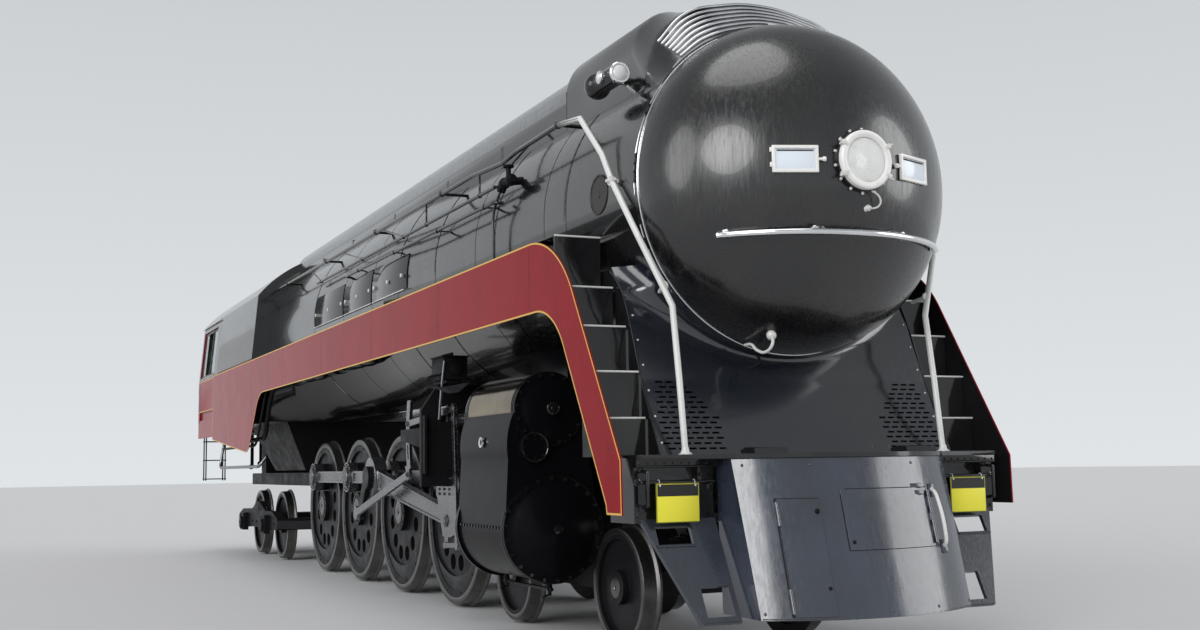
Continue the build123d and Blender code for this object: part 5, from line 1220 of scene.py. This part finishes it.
class LOCO_OT_motion(bpy.types.Operator):
    """Rods, crossheads, guides and valve gear in bright steel, with their caps, keeps and oil cups"""
    bl_idname = "loco.motion"
    bl_label = "Motion"

    def execute(self, context):
        for side, word in SIDES:
            low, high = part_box(f"side_rod_{word}")
            pins = [high[0] - 0.19 - 1.905 * k for k in range(4)]
            rod_z = (low[2] + high[2]) / 2
            for name in ("side_rod", "main_rod", "crosshead"):
                skin(f"{name}_{word}", "steel", bevel=0.006)
            skin(f"guides_{word}", "frame", bevel=0.006, also=(("steel",
                lambda c, n: 1.22 < c.z < 1.35 and abs(abs(c.y) - CYLINDER) < 0.1),))
            skin(f"valve_gear_{word}", "steel", bevel=0.005)

            with piece(f"side_rod_caps_{word}", "hub_steel", body=body_with(f"side_rod_{word}")) as bm:
                for k, x in enumerate(pins):
                    if k == 1:
                        continue
                    y = side * 1.001
                    spun_into(bm, [(0, 0.115), (0.004, 0.118), (0.01, 0.112), (0.012, 0.06), (0.01, 0.03), (0.016, 0.022),
                        (0.016, 0)], (x, y, rod_z), (0, side, 0), steps=40)
                    studs_into(bm, (x, side * 0.985, rod_z), (0, side, 0), 0.158, 12, 0.012, 0.014)
                    studs_into(bm, (x, y + side * 0.006, rod_z), (0, side, 0), 0.086, 8, 0.009, 0.01)

            with piece(f"side_rod_cups_{word}", "hub_steel", body=body_with(f"side_rod_{word}")) as bm:
                for k, x in enumerate(pins):
                    spun_into(bm, [(0, 0), (0, 0.02), (0.016, 0.02), (0.02, 0.013), (0.034, 0.013), (0.036, 0)],
                        (x, side * 0.925, rod_z + 0.186), UP, steps=16)

            wrist = Vector((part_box(f"crosshead_{word}")[0][0] + 0.3, side * CYLINDER, AXLE))

            with piece(f"crosshead_keeps_{word}", "hub_steel", body=body_with(f"crosshead_{word}")) as bm:
                studs_into(bm, (wrist.x, side * 1.22, AXLE), (0, side, 0), 0, 1, 0.045, 0.02)
                spun_into(bm, [(0, 0.058), (0.006, 0.062), (0.01, 0.056), (0.01, 0.02), (0.004, 0)],
                    (wrist.x, side * 1.2205, AXLE), (0, side, 0), steps=32)
                for x in (-0.2, -0.05, 0.1, 0.24):
                    for z in (0.255, 0.3):
                        cone_into(bm, facing((wrist.x + x, side * 1.226, AXLE + z), (0, side, 0)), 0.014, 0.013, 0.014, 6)
                spun_into(bm, [(0, 0), (0, 0.1), (0.02, 0.098), (0.03, 0.07), (0.05, 0.062), (0.05, 0.056)],
                    (wrist.x + 0.43, side * CYLINDER, AXLE), AHEAD, steps=32)
                # oil box along the top of the shoe
                box_into(bm, (wrist.x - 0.12, side * 1.221, AXLE + 0.325), (wrist.x + 0.1, side * 1.245, AXLE + 0.385), 0.005)

            gear_y = side * (1.12 + 0.075 + 0.0006 + 0.05 + 0.04)

            with piece(f"gear_pins_{word}", "hub_steel") as bm:
                for x, z in ((at(5.65), AXLE + 0.44), (at(5.65), AXLE + 0.83), (at(5.65), AXLE + 0.96), (at(4.2), AXLE + 1.05),
                        (at(4.2), AXLE + 0.96)):
                    spun_into(bm, [(-0.002, 0), (-0.002, 0.03), (0.006, 0.03), (0.009, 0.024), (0.009, 0.01), (0.005, 0)],
                        (x, gear_y, z), (0, side, 0), steps=20)
                    studs_into(bm, (x, gear_y + side * 0.006, z), (0, side, 0), 0, 1, 0.017, 0.014)

            with piece(f"yoke_rivets_{word}", "frame") as bm:
                for z, y in ((1.02, 1.43), (1.2, 1.1), (1.1, 1.36)):
                    rivets_into(bm, (at(4.48), side * y, AXLE + 0.5), (at(4.48), side * y, AXLE + z), AHEAD, 12, 0.013, 0.009)
                rivets_into(bm, (at(4.48), side * 0.7, AXLE + 0.5), (at(4.48), side * 1.46, AXLE + 0.44), AHEAD, 12, 0.013, 0.009)
                rivets_into(bm, (at(4.54), side * 0.7, AXLE + 0.55), (at(4.54), side * 1.46, AXLE + 0.44), BACK, 12, 0.013, 0.009)

            # lubricator on the yoke with its row of outlets, driven by a thin rod from the gear
            with piece(f"lubricator_{word}", "frame") as bm:
                box_into(bm, (at(4.47), side * 1.16, AXLE + 1.32), (at(4.11), side * 1.4, AXLE + 1.53), 0.012)
                box_into(bm, (at(4.48), side * 1.15, AXLE + 1.53), (at(4.1), side * 1.41, AXLE + 1.545), 0.004)
                for k in range(7):
                    x = at(4.44 - 0.048 * k)
                    rod_into(bm, (x, side * 1.4, AXLE + 1.37), (x, side * 1.425, AXLE + 1.37), 0.01, 10)
                    rod_into(bm, (x, side * 1.3, AXLE + 1.545), (x, side * 1.3, AXLE + 1.575), 0.012, 10)
                box_into(bm, (at(4.535), side * 1.2, AXLE + 1.29), (at(4.15), side * 1.36, AXLE + 1.32), 0.004)
                spun_into(bm, [(0, 0), (0, 0.055), (0.03, 0.055), (0.034, 0.045), (0.034, 0)],
                    (at(4.08) - 0.03, side * 1.28, AXLE + 1.42), AHEAD, steps=24)
            for k in range(6):
                x = at(4.44 - 0.048 * k)
                swept(f"oil_pipe_{word}_{k + 1}", [(x, side * 1.424, AXLE + 1.37), (x, side * 1.445, AXLE + 1.35),
                    (x + 0.05, side * 1.455, AXLE + 1.29), (x + 0.35, side * 1.455, AXLE + 1.245 - 0.012 * k),
                    (at(3.3) - 0.05 * k, side * 1.43, AXLE + 1.235 - 0.012 * k)], 0.0045, "frame", sides=2)
            swept(f"lubricator_rod_{word}", [(at(4.08), side * 1.4, AXLE + 1.49), (at(4.12), side * 1.42, AXLE + 1.2),
                (at(4.15), side * 1.43, AXLE + 0.95)], 0.011, "steel")
        return DONE


class LOCO_OT_underframe(bpy.types.Operator):
    """Frames, trucks and ash pan, with bolts, hangers, journal lids, reservoirs and the pipes along each side"""
    bl_idname = "loco.underframe"
    bl_label = "Underframe"

    def execute(self, context):
        for node in ("frame_bed", "frame_right", "frame_left", "ash_pan", "lead_truck", "trail_truck"):
            skin(node, "frame", bevel=0.006)

        with pair("journal_lids", "frame", body=body_with("trail_truck")) as bm:
            for station in (14.22, 16.05):
                spun_into(bm, [(0, 0), (0, 0.088), (0.01, 0.086), (0.016, 0.03), (0.016, 0)], (at(station), 1.145, TRAIL_Z),
                    LEFT, steps=32)
                studs_into(bm, (at(station), 1.145, TRAIL_Z), LEFT, 0.095, 6, 0.011, 0.012)
                for x, z in ((-0.125, -0.1), (0.125, -0.1), (-0.125, 0.13), (0.125, 0.13)):
                    studs_into(bm, (at(station) + x, 1.12, TRAIL_Z + z), LEFT, 0, 1, 0.014, 0.012)
            for station in (13.7, 14.8, 15.135, 15.5, 16.6):
                studs_into(bm, (at(station), 1.04, TRAIL_Z + 0.03), LEFT, 0, 1, 0.018, 0.014)

        with pair("trail_hangers", "frame", body=body_with("trail_truck")) as bm:
            for x in (-0.52, 0.52):
                rod_into(bm, (at(TRAIL) + x, 0.97, TRAIL_Z + 0.1), (at(TRAIL) + x, 0.97, TRAIL_Z + 0.29), 0.018, 12)
            for x in (-0.45, 0.45):
                box_into(bm, (at(TRAIL) + x - 0.03, 0.905, 0.93), (at(TRAIL) + x + 0.03, 0.915, 1.0), 0.003)

        with pair("lead_bolts", "frame", body=body_with("lead_truck")) as bm:
            for x in (-1.24, -0.85, -0.35, 0, 0.35, 0.85, 1.24):
                studs_into(bm, (at(LEAD) + x, 0.56, LEAD_Z + (0.15 if abs(x) < 0.6 else 0.07)), LEFT, 0, 1, 0.018, 0.014)
            for x in (-0.56, 0.56):
                rod_into(bm, (at(LEAD) + x, 0.5, LEAD_Z + 0.16), (at(LEAD) + x, 0.5, LEAD_Z + 0.3), 0.016, 12)

        # injector and air pipes along each side, and the reservoirs behind the skirts
        for side, word in SIDES:
            pipe(f"cab_rail_{word}", [(at(12.75), side * 1.36, 1.62), (at(12.75), side * 1.46, 1.485),
                (at(16.3), side * 1.46, 1.485), (at(16.3), side * 1.4, 1.9)], 0.024, "steel", bend=0.12)
            pipe(f"feed_pipe_{word}", [(at(5.2), side * 1.3, 2.7), (at(5.4), side * 1.42, 2.66), (at(11.9), side * 1.42, 2.66),
                (at(12.3), side * 1.42, 2.3), (at(12.7), side * 1.38, 1.9), (at(15.9), side * 1.38, 1.9)], 0.036, "frame",
                bend=0.22)
            pipe(f"air_pipe_{word}", [(at(3.5), side * 1.5, 2.74), (at(5.0), side * 1.5, 2.74), (at(11.9), side * 1.5, 2.74),
                (at(12.4), side * 1.5, 2.2), (at(12.9), side * 1.48, 1.8), (at(16.0), side * 1.46, 1.8)], 0.019, "frame",
                bend=0.18, sides=4)

        with pair("air_reservoirs", "gloss") as bm:
            for front, rear in ((7.1, 9.35), (9.6, 11.85)):
                length = rear - front
                spun_into(bm, [(0, 0), (0.012, 0.09), (0.05, 0.17), (0.1, 0.205), (length - 0.1, 0.205), (length - 0.05, 0.17),
                    (length - 0.012, 0.09), (length, 0)], (at(rear), 1.2, 2.82), AHEAD, steps=40)
                for share in (0.2, 0.8):
                    x = at(front + (rear - front) * share)
                    ring_into(bm, (x, 1.2, 2.82), AHEAD, (-0.03, 0.03), (0.204, 0.212), 40)
                    box_into(bm, (x - 0.03, 1.14, 3.0), (x + 0.03, 1.26, 3.058), 0.004)

        with pair("pipe_clips", "frame") as bm:
            for station in (5.9, 7.4, 8.9, 10.4, 11.7):
                box_into(bm, (at(station) - 0.02, 1.38, 2.7), (at(station) + 0.02, 1.56, 2.712), 0.002)
                box_into(bm, (at(station) - 0.02, 1.548, 2.66), (at(station) + 0.02, 1.56, 3.05), 0.002)
                ring_into(bm, (at(station), 1.42, 2.66), AHEAD, (-0.015, 0.015), (0.035, 0.043), 20)

        with pair("frame_clips", "frame") as bm:
            for station in (5.56, 7.465, 9.37, 11.275):
                x = at(station) + 0.955
                box_into(bm, (x - 0.02, 0.61, 1.3), (x + 0.02, 0.7, 1.37), 0.004)
        return DONE


class LOCO_OT_rails(bpy.types.Operator):
    """Handrails with their balls, clamps and feet, bright at the front, and the grips at the cab"""
    bl_idname = "loco.rails"
    bl_label = "Handrails"

    def execute(self, context):
        skin("handrails", "gloss", bevel=0, angle=50, also=(("silver", lambda c, n: c.x > at(1.5) and abs(c.y) > 0.95, 0.002),
            ("chrome", lambda c, n: c.x > at(0.35) and abs(c.y) < 0.94, 0.005)))

        with pair("rail_balls", "gloss") as bm:
            for station, z in ((1.67, 4.078), (4.6, 4.088), (7.0, 4.102), (9.4, 4.115), (11.8, 4.126)):
                spun_into(bm, [(-0.034, 0), (-0.03, 0.016), (-0.018, 0.029), (0, 0.034), (0.018, 0.029), (0.03, 0.016),
                    (0.034, 0)], (at(station), 1.25, z), LEFT, steps=24)
                spun_into(bm, [(0, 0), (0, 0.036), (0.008, 0.034), (0.012, 0.02), (0.012, 0)], (at(station), 0.855, z), LEFT,
                    steps=24)
            for station, z in ((3.5, 3.86), (5.1, 3.867), (5.9, 3.87), (7.6, 3.88), (9.7, 3.888)):
                spun_into(bm, [(-0.024, 0), (-0.018, 0.018), (0, 0.026), (0.018, 0.018), (0.024, 0)], (at(station), 1.25, z), LEFT,
                    steps=20)

        with pair("post_feet", "silver") as bm:
            spun_into(bm, [(0, 0), (0, 0.046), (0.006, 0.046), (0.01, 0.034), (0.03, 0.026), (0.05, 0.0235)],
                (at(0.037), 1.061, DECK), UP, steps=28)
            studs_into(bm, (at(0.037), 1.061, DECK + 0.006), UP, 0.036, 3, 0.007, 0.007)
            # clamp that holds the post to the nose ring, and the boss half way up
            rod_into(bm, (at(0.7), 1.12, 3.435), (at(0.7), 1.285, 3.435), 0.017, 16, bevel=0.003)
            ring_into(bm, (at(0.7), 1.25, 3.435), (0.66, 0, 0.75), (-0.026, 0.026), (0.02, 0.028), 24)
            studs_into(bm, (at(0.7), 1.285, 3.435), LEFT, 0, 1, 0.014, 0.012)
            rod_into(bm, (at(0.222), 1.1, 2.625), (at(0.34), 1.07, 2.6), 0.014, 14)
            spun_into(bm, [(0, 0), (0, 0.034), (0.01, 0.03), (0.016, 0)], (at(0.215), 1.103, 2.628), (1, 0.1, 0.1), steps=20)

        with pair("nose_rail_feet", "chrome") as bm:
            for y, z in ((0.87, 2.918), (0.36, 2.918)):
                x = BEAM + 0.6 - (1.168 - sqrt(1.168 ** 2 - y * y)) * 0.99
                inward = Vector((-0.382 - 0.05 - (x - BEAM), -y, BOILER - z)).normalized()
                spun_into(bm, [(0, 0), (0, 0.03), (0.004, 0.032), (0.004, 0)], Vector((x, y, z)) + inward * 0.03, inward, steps=20)
                rod_into(bm, (x, y, z), Vector((x, y, z)) + inward * 0.075, 0.016, 14)
            spun_into(bm, [(-0.004, 0), (-0.004, 0.022), (0.008, 0.024), (0.016, 0.016), (0.018, 0)], (at(-0.185), 0.893, 2.918),
                (-0.72, 0.69, 0), steps=20)

        # upright grips beside the cab steps
        for side, word in SIDES:
            pipe(f"cab_grip_{word}", [(at(16.395), side * 1.575, 3.02), (at(16.395), side * 1.573, 3.02),
                (at(16.395), side * 1.573, 2.42), (at(16.395), side * 1.575, 2.42)], 0.014, "steel", bend=0.03, sides=4)
            pipe(f"cab_rear_grip_{word}", [(at(18.04), side * 1.55, 3.02), (at(18.04), side * 1.573, 3.02),
                (at(18.04), side * 1.573, 2.3), (at(18.04), side * 1.575, 2.3)], 0.014, "steel", bend=0.03, sides=4)
        return DONE


class LOCO_OT_cab(bpy.types.Operator):
    """Cab with its windows, gutters, strips, lining, rivets and vents"""
    bl_idname = "loco.cab"
    bl_label = "Cab"

    def execute(self, context):
        skin("cab_roof", "gloss", bevel=0.006, also=(("cab", lambda c, n: n.z < -0.3),))
        for side, word in SIDES:
            skin(f"cab_side_{word}", "band", bevel=0.003, also=(("gloss", lambda c, n, side=side: c.z > BOARD - 0.02
                and n.y * side > 0.2), ("cab", lambda c, n, side=side: n.y * side < -0.5)))

        def window(front, rear, depth):
            low, high = 3.125, 3.945
            lean = atan2(1.574 - 1.48, 4.08 - BOARD)
            normal = Vector((0, cos(lean), sin(lean)))
            middle = (low + high) / 2
            y = 1.574 - (middle - BOARD) * tan(lean) - depth
            matrix = facing(((at(front) + at(rear)) / 2, y, middle), normal)
            return matrix, rear - front, high - low

        with pair("sashes", "sash") as bm:
            for front, rear, depth in ((16.49, 17.02, 0.03), (17.0, 17.53, 0.022), (17.5, 17.98, 0.03)):
                matrix, width, height = window(front, rear, depth)
                frame_into(bm, matrix @ Matrix.Translation((0, 0, -0.008)), width, height / cos(0.09), 0.035, 0.016)

        with pair("panes", "glass") as bm:
            for front, rear, depth in ((16.49, 17.02, 0.03), (17.5, 17.98, 0.03)):
                matrix, width, height = window(front, rear, depth)
                block_into(bm, matrix @ Matrix.Translation((0, 0, -0.002)), (width - 0.06, height - 0.06, 0.004))

        with pair("cab_strips", "silver") as bm:
            # rain strip over the windows, sill with its rest, and the strip at the waist
            box_into(bm, (at(18.09), 1.487, 4.045), (at(16.2), 1.512, 4.058), 0.003)
            box_into(bm, (at(17.99), 1.555, 3.1), (at(16.48), 1.588, 3.112), 0.004)
            box_into(bm, (at(18.095), 1.572, BOARD - 0.006), (at(16.11), 1.582, BOARD + 0.006), 0.002)

        with pair("cab_lines", "lining") as bm:
            for low, high in ((2.505, 2.517), (3.048, 3.06)):
                box_into(bm, (at(18.085), 1.5735, low), (at(16.4), 1.575, high))
            for station in (16.4, 18.085):
                box_into(bm, (at(station) - 0.012, 1.5735, 2.505), (at(station), 1.575, 3.06))

        with pair("cab_rivets", "gloss") as bm:
            for station in (16.16, 18.05):
                rivets_into(bm, (at(station), 1.569, 3.12), (at(station), 1.482, 4.03), (0, 1, 0.09), 16, 0.008, 0.004)
            rivets_into(bm, (at(16.2), 1.5665, 3.095), (at(18.0), 1.5665, 3.095), LEFT, 26, 0.007, 0.012)

        with piece("roof_vents", "gloss") as bm:
            for station in (16.75, 17.45):
                for side in (-1, 1):
                    z = 4.79 - 0.71 * (0.55 / 1.48) ** 2 + 0.015
                    block_into(bm, facing((at(station), side * 0.55, z - 0.01), (0, side * 0.36, 1)), (0.48, 0.56, 0.035), 0.01)
                    for y in (-0.14, 0.14):
                        block_into(bm, facing((at(station) + y, side * 0.55, z + 0.02), (0, side * 0.36, 1)), (0.03, 0.12, 0.02),
                            0.004)
        return DONE


class LOCO_OT_cab_inside(bpy.types.Operator):
    """Backhead with gauges, handwheels and fire door, the floor, and the crew's cushions"""
    bl_idname = "loco.cab_inside"
    bl_label = "Cab interior"

    def execute(self, context):
        skin("backhead", "frame", bevel=0.006)
        skin("cab_floor", "frame", also=(("cab_floor", lambda c, n: n.z > 0.9 and c.z > 2.1),))
        skin("cab_rear", "gloss", bevel=0.003, also=(("cab", lambda c, n: n.x > 0.5),))
        face = at(16.36)
        gauges = ((-0.42, 3.7, 0.095), (-0.16, 3.83, 0.08), (0.16, 3.83, 0.08), (0.42, 3.7, 0.095), (-0.64, 3.42, 0.07))

        with piece("gauge_rims", "brass") as bm:
            for y, z, r in gauges:
                spun_into(bm, [(-0.02, r - 0.002), (-0.02, r + 0.006), (0.008, r + 0.006), (0.01, r - 0.004), (0.004, r - 0.012)],
                    (face - 0.06, y, z), BACK, steps=40, closed=True)
            for y in (-0.3, -0.1, 0.1, 0.3):
                rod_into(bm, (face - 0.05, y, 3.33), (face - 0.05, y, 3.22), 0.01, 12)
                studs_into(bm, (face - 0.02, y, 3.33), BACK, 0.024, 4, 0.007, 0.012)
            rod_into(bm, (face - 0.04, -0.74, 3.05), (face - 0.04, -0.74, 3.3), 0.018, 16)
            for z in (3.05, 3.3):
                rod_into(bm, (face, -0.74, z), (face - 0.06, -0.74, z), 0.022, 14, bevel=0.004)

        with piece("gauge_faces", "milk") as bm:
            for y, z, r in gauges:
                spun_into(bm, [(0.001, r - 0.004), (0.002, 0)], (face - 0.06, y, z), BACK, steps=40)

        with piece("gauge_hands", "dark") as bm:
            for k, (y, z, r) in enumerate(gauges):
                turn = 0.7 + 0.9 * k
                rod_into(bm, (face - 0.064, y - 0.2 * r * cos(turn), z - 0.2 * r * sin(turn)),
                    (face - 0.064, y + 0.7 * r * cos(turn), z + 0.7 * r * sin(turn)), 0.002, 6)
                for tick in range(11):
                    angle = -0.6 + 4.3 * tick / 10
                    a, b = r * 0.74, r * 0.86
                    rod_into(bm, (face - 0.063, y + a * cos(angle), z + a * sin(angle)),
                        (face - 0.063, y + b * cos(angle), z + b * sin(angle)), 0.0014, 5)

        with piece("handwheels", "red_paint") as bm:
            for y in (-0.3, -0.1, 0.1, 0.3):
                centre = Vector((face - 0.094, y, 3.33))
                spun_into(bm, [(-0.006, 0.046), (0, 0.052), (0.006, 0.046), (0, 0.041)], centre, BACK, steps=28, closed=True)
                for k in range(3):
                    away = Vector((0, cos(k * pi / 3), sin(k * pi / 3))) * 0.045
                    rod_into(bm, centre - away, centre + away, 0.005, 8)
                rod_into(bm, centre, centre + Vector((0.03, 0, 0)), 0.011, 12)

        with piece("fire_door", "frame") as bm:
            for y in (-0.144, 0.144):
                frame_into(bm, facing((face - 0.07, y, 2.705), BACK), 0.25, 0.33, 0.03, 0.012)
                rod_into(bm, (face - 0.085, y, 2.6), (face - 0.085, y, 2.8), 0.01, 10)
            studs_into(bm, (face - 0.001, 0, 3.08), BACK, 0, 1, 0.03, 0.02)
            for k in range(28):
                turn = pi * k / 27
                spot = (face - 0.001, 0.8 * cos(turn), 3.28 + 0.86 * sin(turn))
                cone_into(bm, facing(spot, BACK), 0.014, 0.01, 0.012, 8)

        for side, word in SIDES:
            for part, low, high in (("seat", (at(17.36), side * 0.945, 2.675), (at(16.895), side * 1.405, 2.745)),
                    ("back", (at(17.345), side * 0.945, 2.78), (at(17.285), side * 1.405, 3.06))):
                bm = bmesh.new()
                low, high = Vector(map(min, low, high)), Vector(map(max, low, high))
                box_into(bm, low, high)
                bevelled(bm, bm.edges[:], 0.018, 3)
                bmesh.ops.subdivide_edges(bm, edges=bm.edges[:], cuts=4, use_grid_fill=True)
                bmesh.ops.smooth_vert(bm, verts=bm.verts, factor=0.5, use_axis_x=True, use_axis_y=True, use_axis_z=True)
                middle, size = (low + high) / 2, high - low
                thin = min(range(3), key=lambda axis: size[axis])
                others = [axis for axis in range(3) if axis != thin]
                for vert in bm.verts:
                    u, v = ((vert.co[axis] - middle[axis]) / (size[axis] / 2) for axis in others)
                    crown = max(0, 1 - u * u) * max(0, 1 - v * v)
                    away = 1 if vert.co[thin] > middle[thin] else -1
                    vert.co[thin] += away * 0.018 * crown
                cushion = place(f"{part}_cushion_{word}", bm, "seat", sharp=80)
        return DONE


class LOCO_OT_rear(bpy.types.Operator):
    """Coupling end: frame of the drawbar pocket, floor strips, cab ladders and pipe ends"""
    bl_idname = "loco.rear"
    bl_label = "Rear"

    def execute(self, context):
        with piece("drawbar_frame", "frame") as bm:
            frame_into(bm, facing((at(18.0), 0, 1.3), BACK), 0.5, 0.15, 0.04, 0.03)
            for y in (-0.22, 0.22):
                studs_into(bm, (at(18.03), y, 1.3), BACK, 0, 1, 0.02, 0.016)

        with piece("floor_strips", "frame") as bm:
            for k in range(9):
                y = -0.48 + 0.12 * k
                box_into(bm, (at(18.042), y - 0.02, 2.151), (at(17.6), y + 0.02, 2.156))

        with pair("cab_steps", "frame") as bm:
            for z in (1.28, 1.62, 1.96):
                box_into(bm, (at(18.02), 1.12, z), (at(17.72), 1.5, z + 0.018), 0.004)
            for station in (17.74, 18.0):
                box_into(bm, (at(station) - 0.012, 1.13, 1.26), (at(station) + 0.012, 1.15, 2.12), 0.003)
                box_into(bm, (at(station) - 0.012, 1.47, 1.26), (at(station) + 0.012, 1.49, 2.09), 0.003)

        with piece("pipe_ends", "frame") as bm:
            for y, z in ((-0.62, 1.5), (-0.46, 1.56), (0.46, 1.56), (0.62, 1.5)):
                spun_into(bm, [(0, 0), (0, 0.035), (0.03, 0.035), (0.03, 0.045), (0.06, 0.045), (0.064, 0.03), (0.064, 0)],
                    (at(17.96), y, z), BACK, steps=24)
                rod_into(bm, (at(17.96), y, z), (at(17.5), y, z), 0.024, 14)
                box_into(bm, (at(17.93), y - 0.03, z + 0.02), (at(17.91), y + 0.03, 2.09), 0.004)
        return DONE


class LOCO_OT_stage(bpy.types.Operator):
    """Floor, backdrop, lamps and camera"""
    bl_idname = "loco.stage"
    bl_label = "Stage"

    def execute(self, context):
        scene = context.scene
        scene.view_settings.view_transform = "Standard"
        bm = bmesh.new()
        bmesh.ops.create_grid(bm, x_segments=1, y_segments=1, size=160)
        mesh = mesh_of(bm, "floor")
        floor = bpy.data.objects.new("floor", mesh)
        scene.collection.objects.link(floor)
        material, _, shader = node_material("pale_floor")
        shader.inputs["Base Color"].default_value = (0.56, 0.56, 0.56, 1)
        shader.inputs["Roughness"].default_value = 0.8
        shader.inputs["Specular IOR Level"].default_value = 0.2
        mesh.materials.append(material)

        world = bpy.data.worlds.new("studio")
        scene.world = world
        world.use_nodes = True
        tree = world.node_tree
        tree.nodes.clear()
        out, rays, seen, seen2, coords, split, ramp, pale, soft, mix = (tree.nodes.new("ShaderNode" + kind)
            for kind in ("OutputWorld", "LightPath", "Math", "Math", "TexCoord", "SeparateXYZ", "ValToRGB", "Background",
            "Background", "MixShader"))
        seen.operation = seen2.operation = "MAXIMUM"
        # the backdrop is pale near the horizon and greyer overhead
        stops = ((0, 0.8), (0.3, 0.66), (0.55, 0.5), (0.8, 0.36))
        while len(ramp.color_ramp.elements) < len(stops):
            ramp.color_ramp.elements.new(0.5)
        for element, (position, value) in zip(ramp.color_ramp.elements, stops):
            element.position = position
            element.color = (value * 0.93, value * 0.97, value, 1)
        soft.inputs["Color"].default_value = (0.9, 0.94, 1, 1)
        soft.inputs["Strength"].default_value = 0.45
        for source, output, target, socket in (
                (coords, "Generated", split, 0), (split, "Z", ramp, 0), (ramp, "Color", pale, "Color"),
                (rays, "Is Camera Ray", seen, 0), (rays, "Is Glossy Ray", seen, 1), (seen, 0, seen2, 0),
                (rays, "Is Transmission Ray", seen2, 1), (seen2, 0, mix, 0), (soft, 0, mix, 1), (pale, 0, mix, 2),
                (mix, 0, out, "Surface")):
            tree.links.new(source.outputs[output], target.inputs[socket])

        # name, where the light comes from, its width in degrees and its strength
        lamps = (
            ("key", (16, -17, 9.0), 30, 1.35),
            ("fill", (1, -24, 8.0), 36, 0.8),
            ("top", (1, -2, 15.0), 40, 0.95),
            ("rim", (9, 18, 6.0), 34, 0.8),
        )
        for name, spot, width, strength in lamps:
            data = bpy.data.lights.new(name, "SUN")
            data.angle = radians(width)
            data.energy = strength
            lamp = bpy.data.objects.new(name, data)
            lamp.location = spot
            lamp.rotation_euler = (-Vector(spot)).to_track_quat("-Z", "Y").to_euler()
            scene.collection.objects.link(lamp)

        yaw, pitch, roll = (radians(a) for a in (24.746, 6.347, 0.938))
        ahead = Vector((-cos(yaw) * cos(pitch), sin(yaw) * cos(pitch), sin(pitch)))
        right = ahead.cross(Vector(UP)).normalized()
        up = right.cross(ahead)
        right, up = (cos(roll) * right - sin(roll) * up, sin(roll) * right + cos(roll) * up)
        data = bpy.data.cameras.new("camera")
        data.lens = 40.7
        data.sensor_width = 36
        data.clip_start = 0.05
        data.clip_end = 400
        camera = bpy.data.objects.new("camera", data)
        camera.matrix_world = Matrix.Translation((BEAM + 7.927, -5.337, 1.386 + RAIL)) @ Matrix((right, up,
            -ahead)).transposed().to_4x4()
        scene.collection.objects.link(camera)
        scene.camera = camera
        return DONE


class LOCO_PT_panel(bpy.types.Panel):
    """Sizes, colours and groups of the locomotive"""
    bl_idname = "LOCO_PT_panel"
    bl_label = "Locomotive"
    bl_space_type = "VIEW_3D"
    bl_region_type = "UI"
    bl_category = "Locomotive"

    def draw(self, context):
        for settings in (context.scene.loco_sizes, context.scene.loco_colours):
            for name in settings.__annotations__:
                self.layout.prop(settings, name)
        for operator in steps:
            self.layout.operator(operator.bl_idname)


steps = (LOCO_OT_nose, LOCO_OT_headlight, LOCO_OT_boards, LOCO_OT_class_lamps, LOCO_OT_hood, LOCO_OT_boiler, LOCO_OT_cowl,
    LOCO_OT_skirts, LOCO_OT_boards_and_steps, LOCO_OT_beam, LOCO_OT_pilot, LOCO_OT_cylinders, LOCO_OT_wheels, LOCO_OT_motion,
    LOCO_OT_underframe, LOCO_OT_rails, LOCO_OT_cab, LOCO_OT_cab_inside, LOCO_OT_rear, LOCO_OT_stage)
classes = (LocomotiveSizes, LocomotiveColours) + steps + (LOCO_PT_panel,)


def register():
    for cls in classes:
        bpy.utils.register_class(cls)
    bpy.types.Scene.loco_sizes = PointerProperty(type=LocomotiveSizes)
    bpy.types.Scene.loco_colours = PointerProperty(type=LocomotiveColours)


def unregister():
    del bpy.types.Scene.loco_colours
    del bpy.types.Scene.loco_sizes
    for cls in reversed(classes):
        bpy.utils.unregister_class(cls)


def main():
    register()
    for operator in steps:
        group, name = operator.bl_idname.split(".")
        getattr(getattr(bpy.ops, group), name)()


if __name__ == "__main__":
    main()
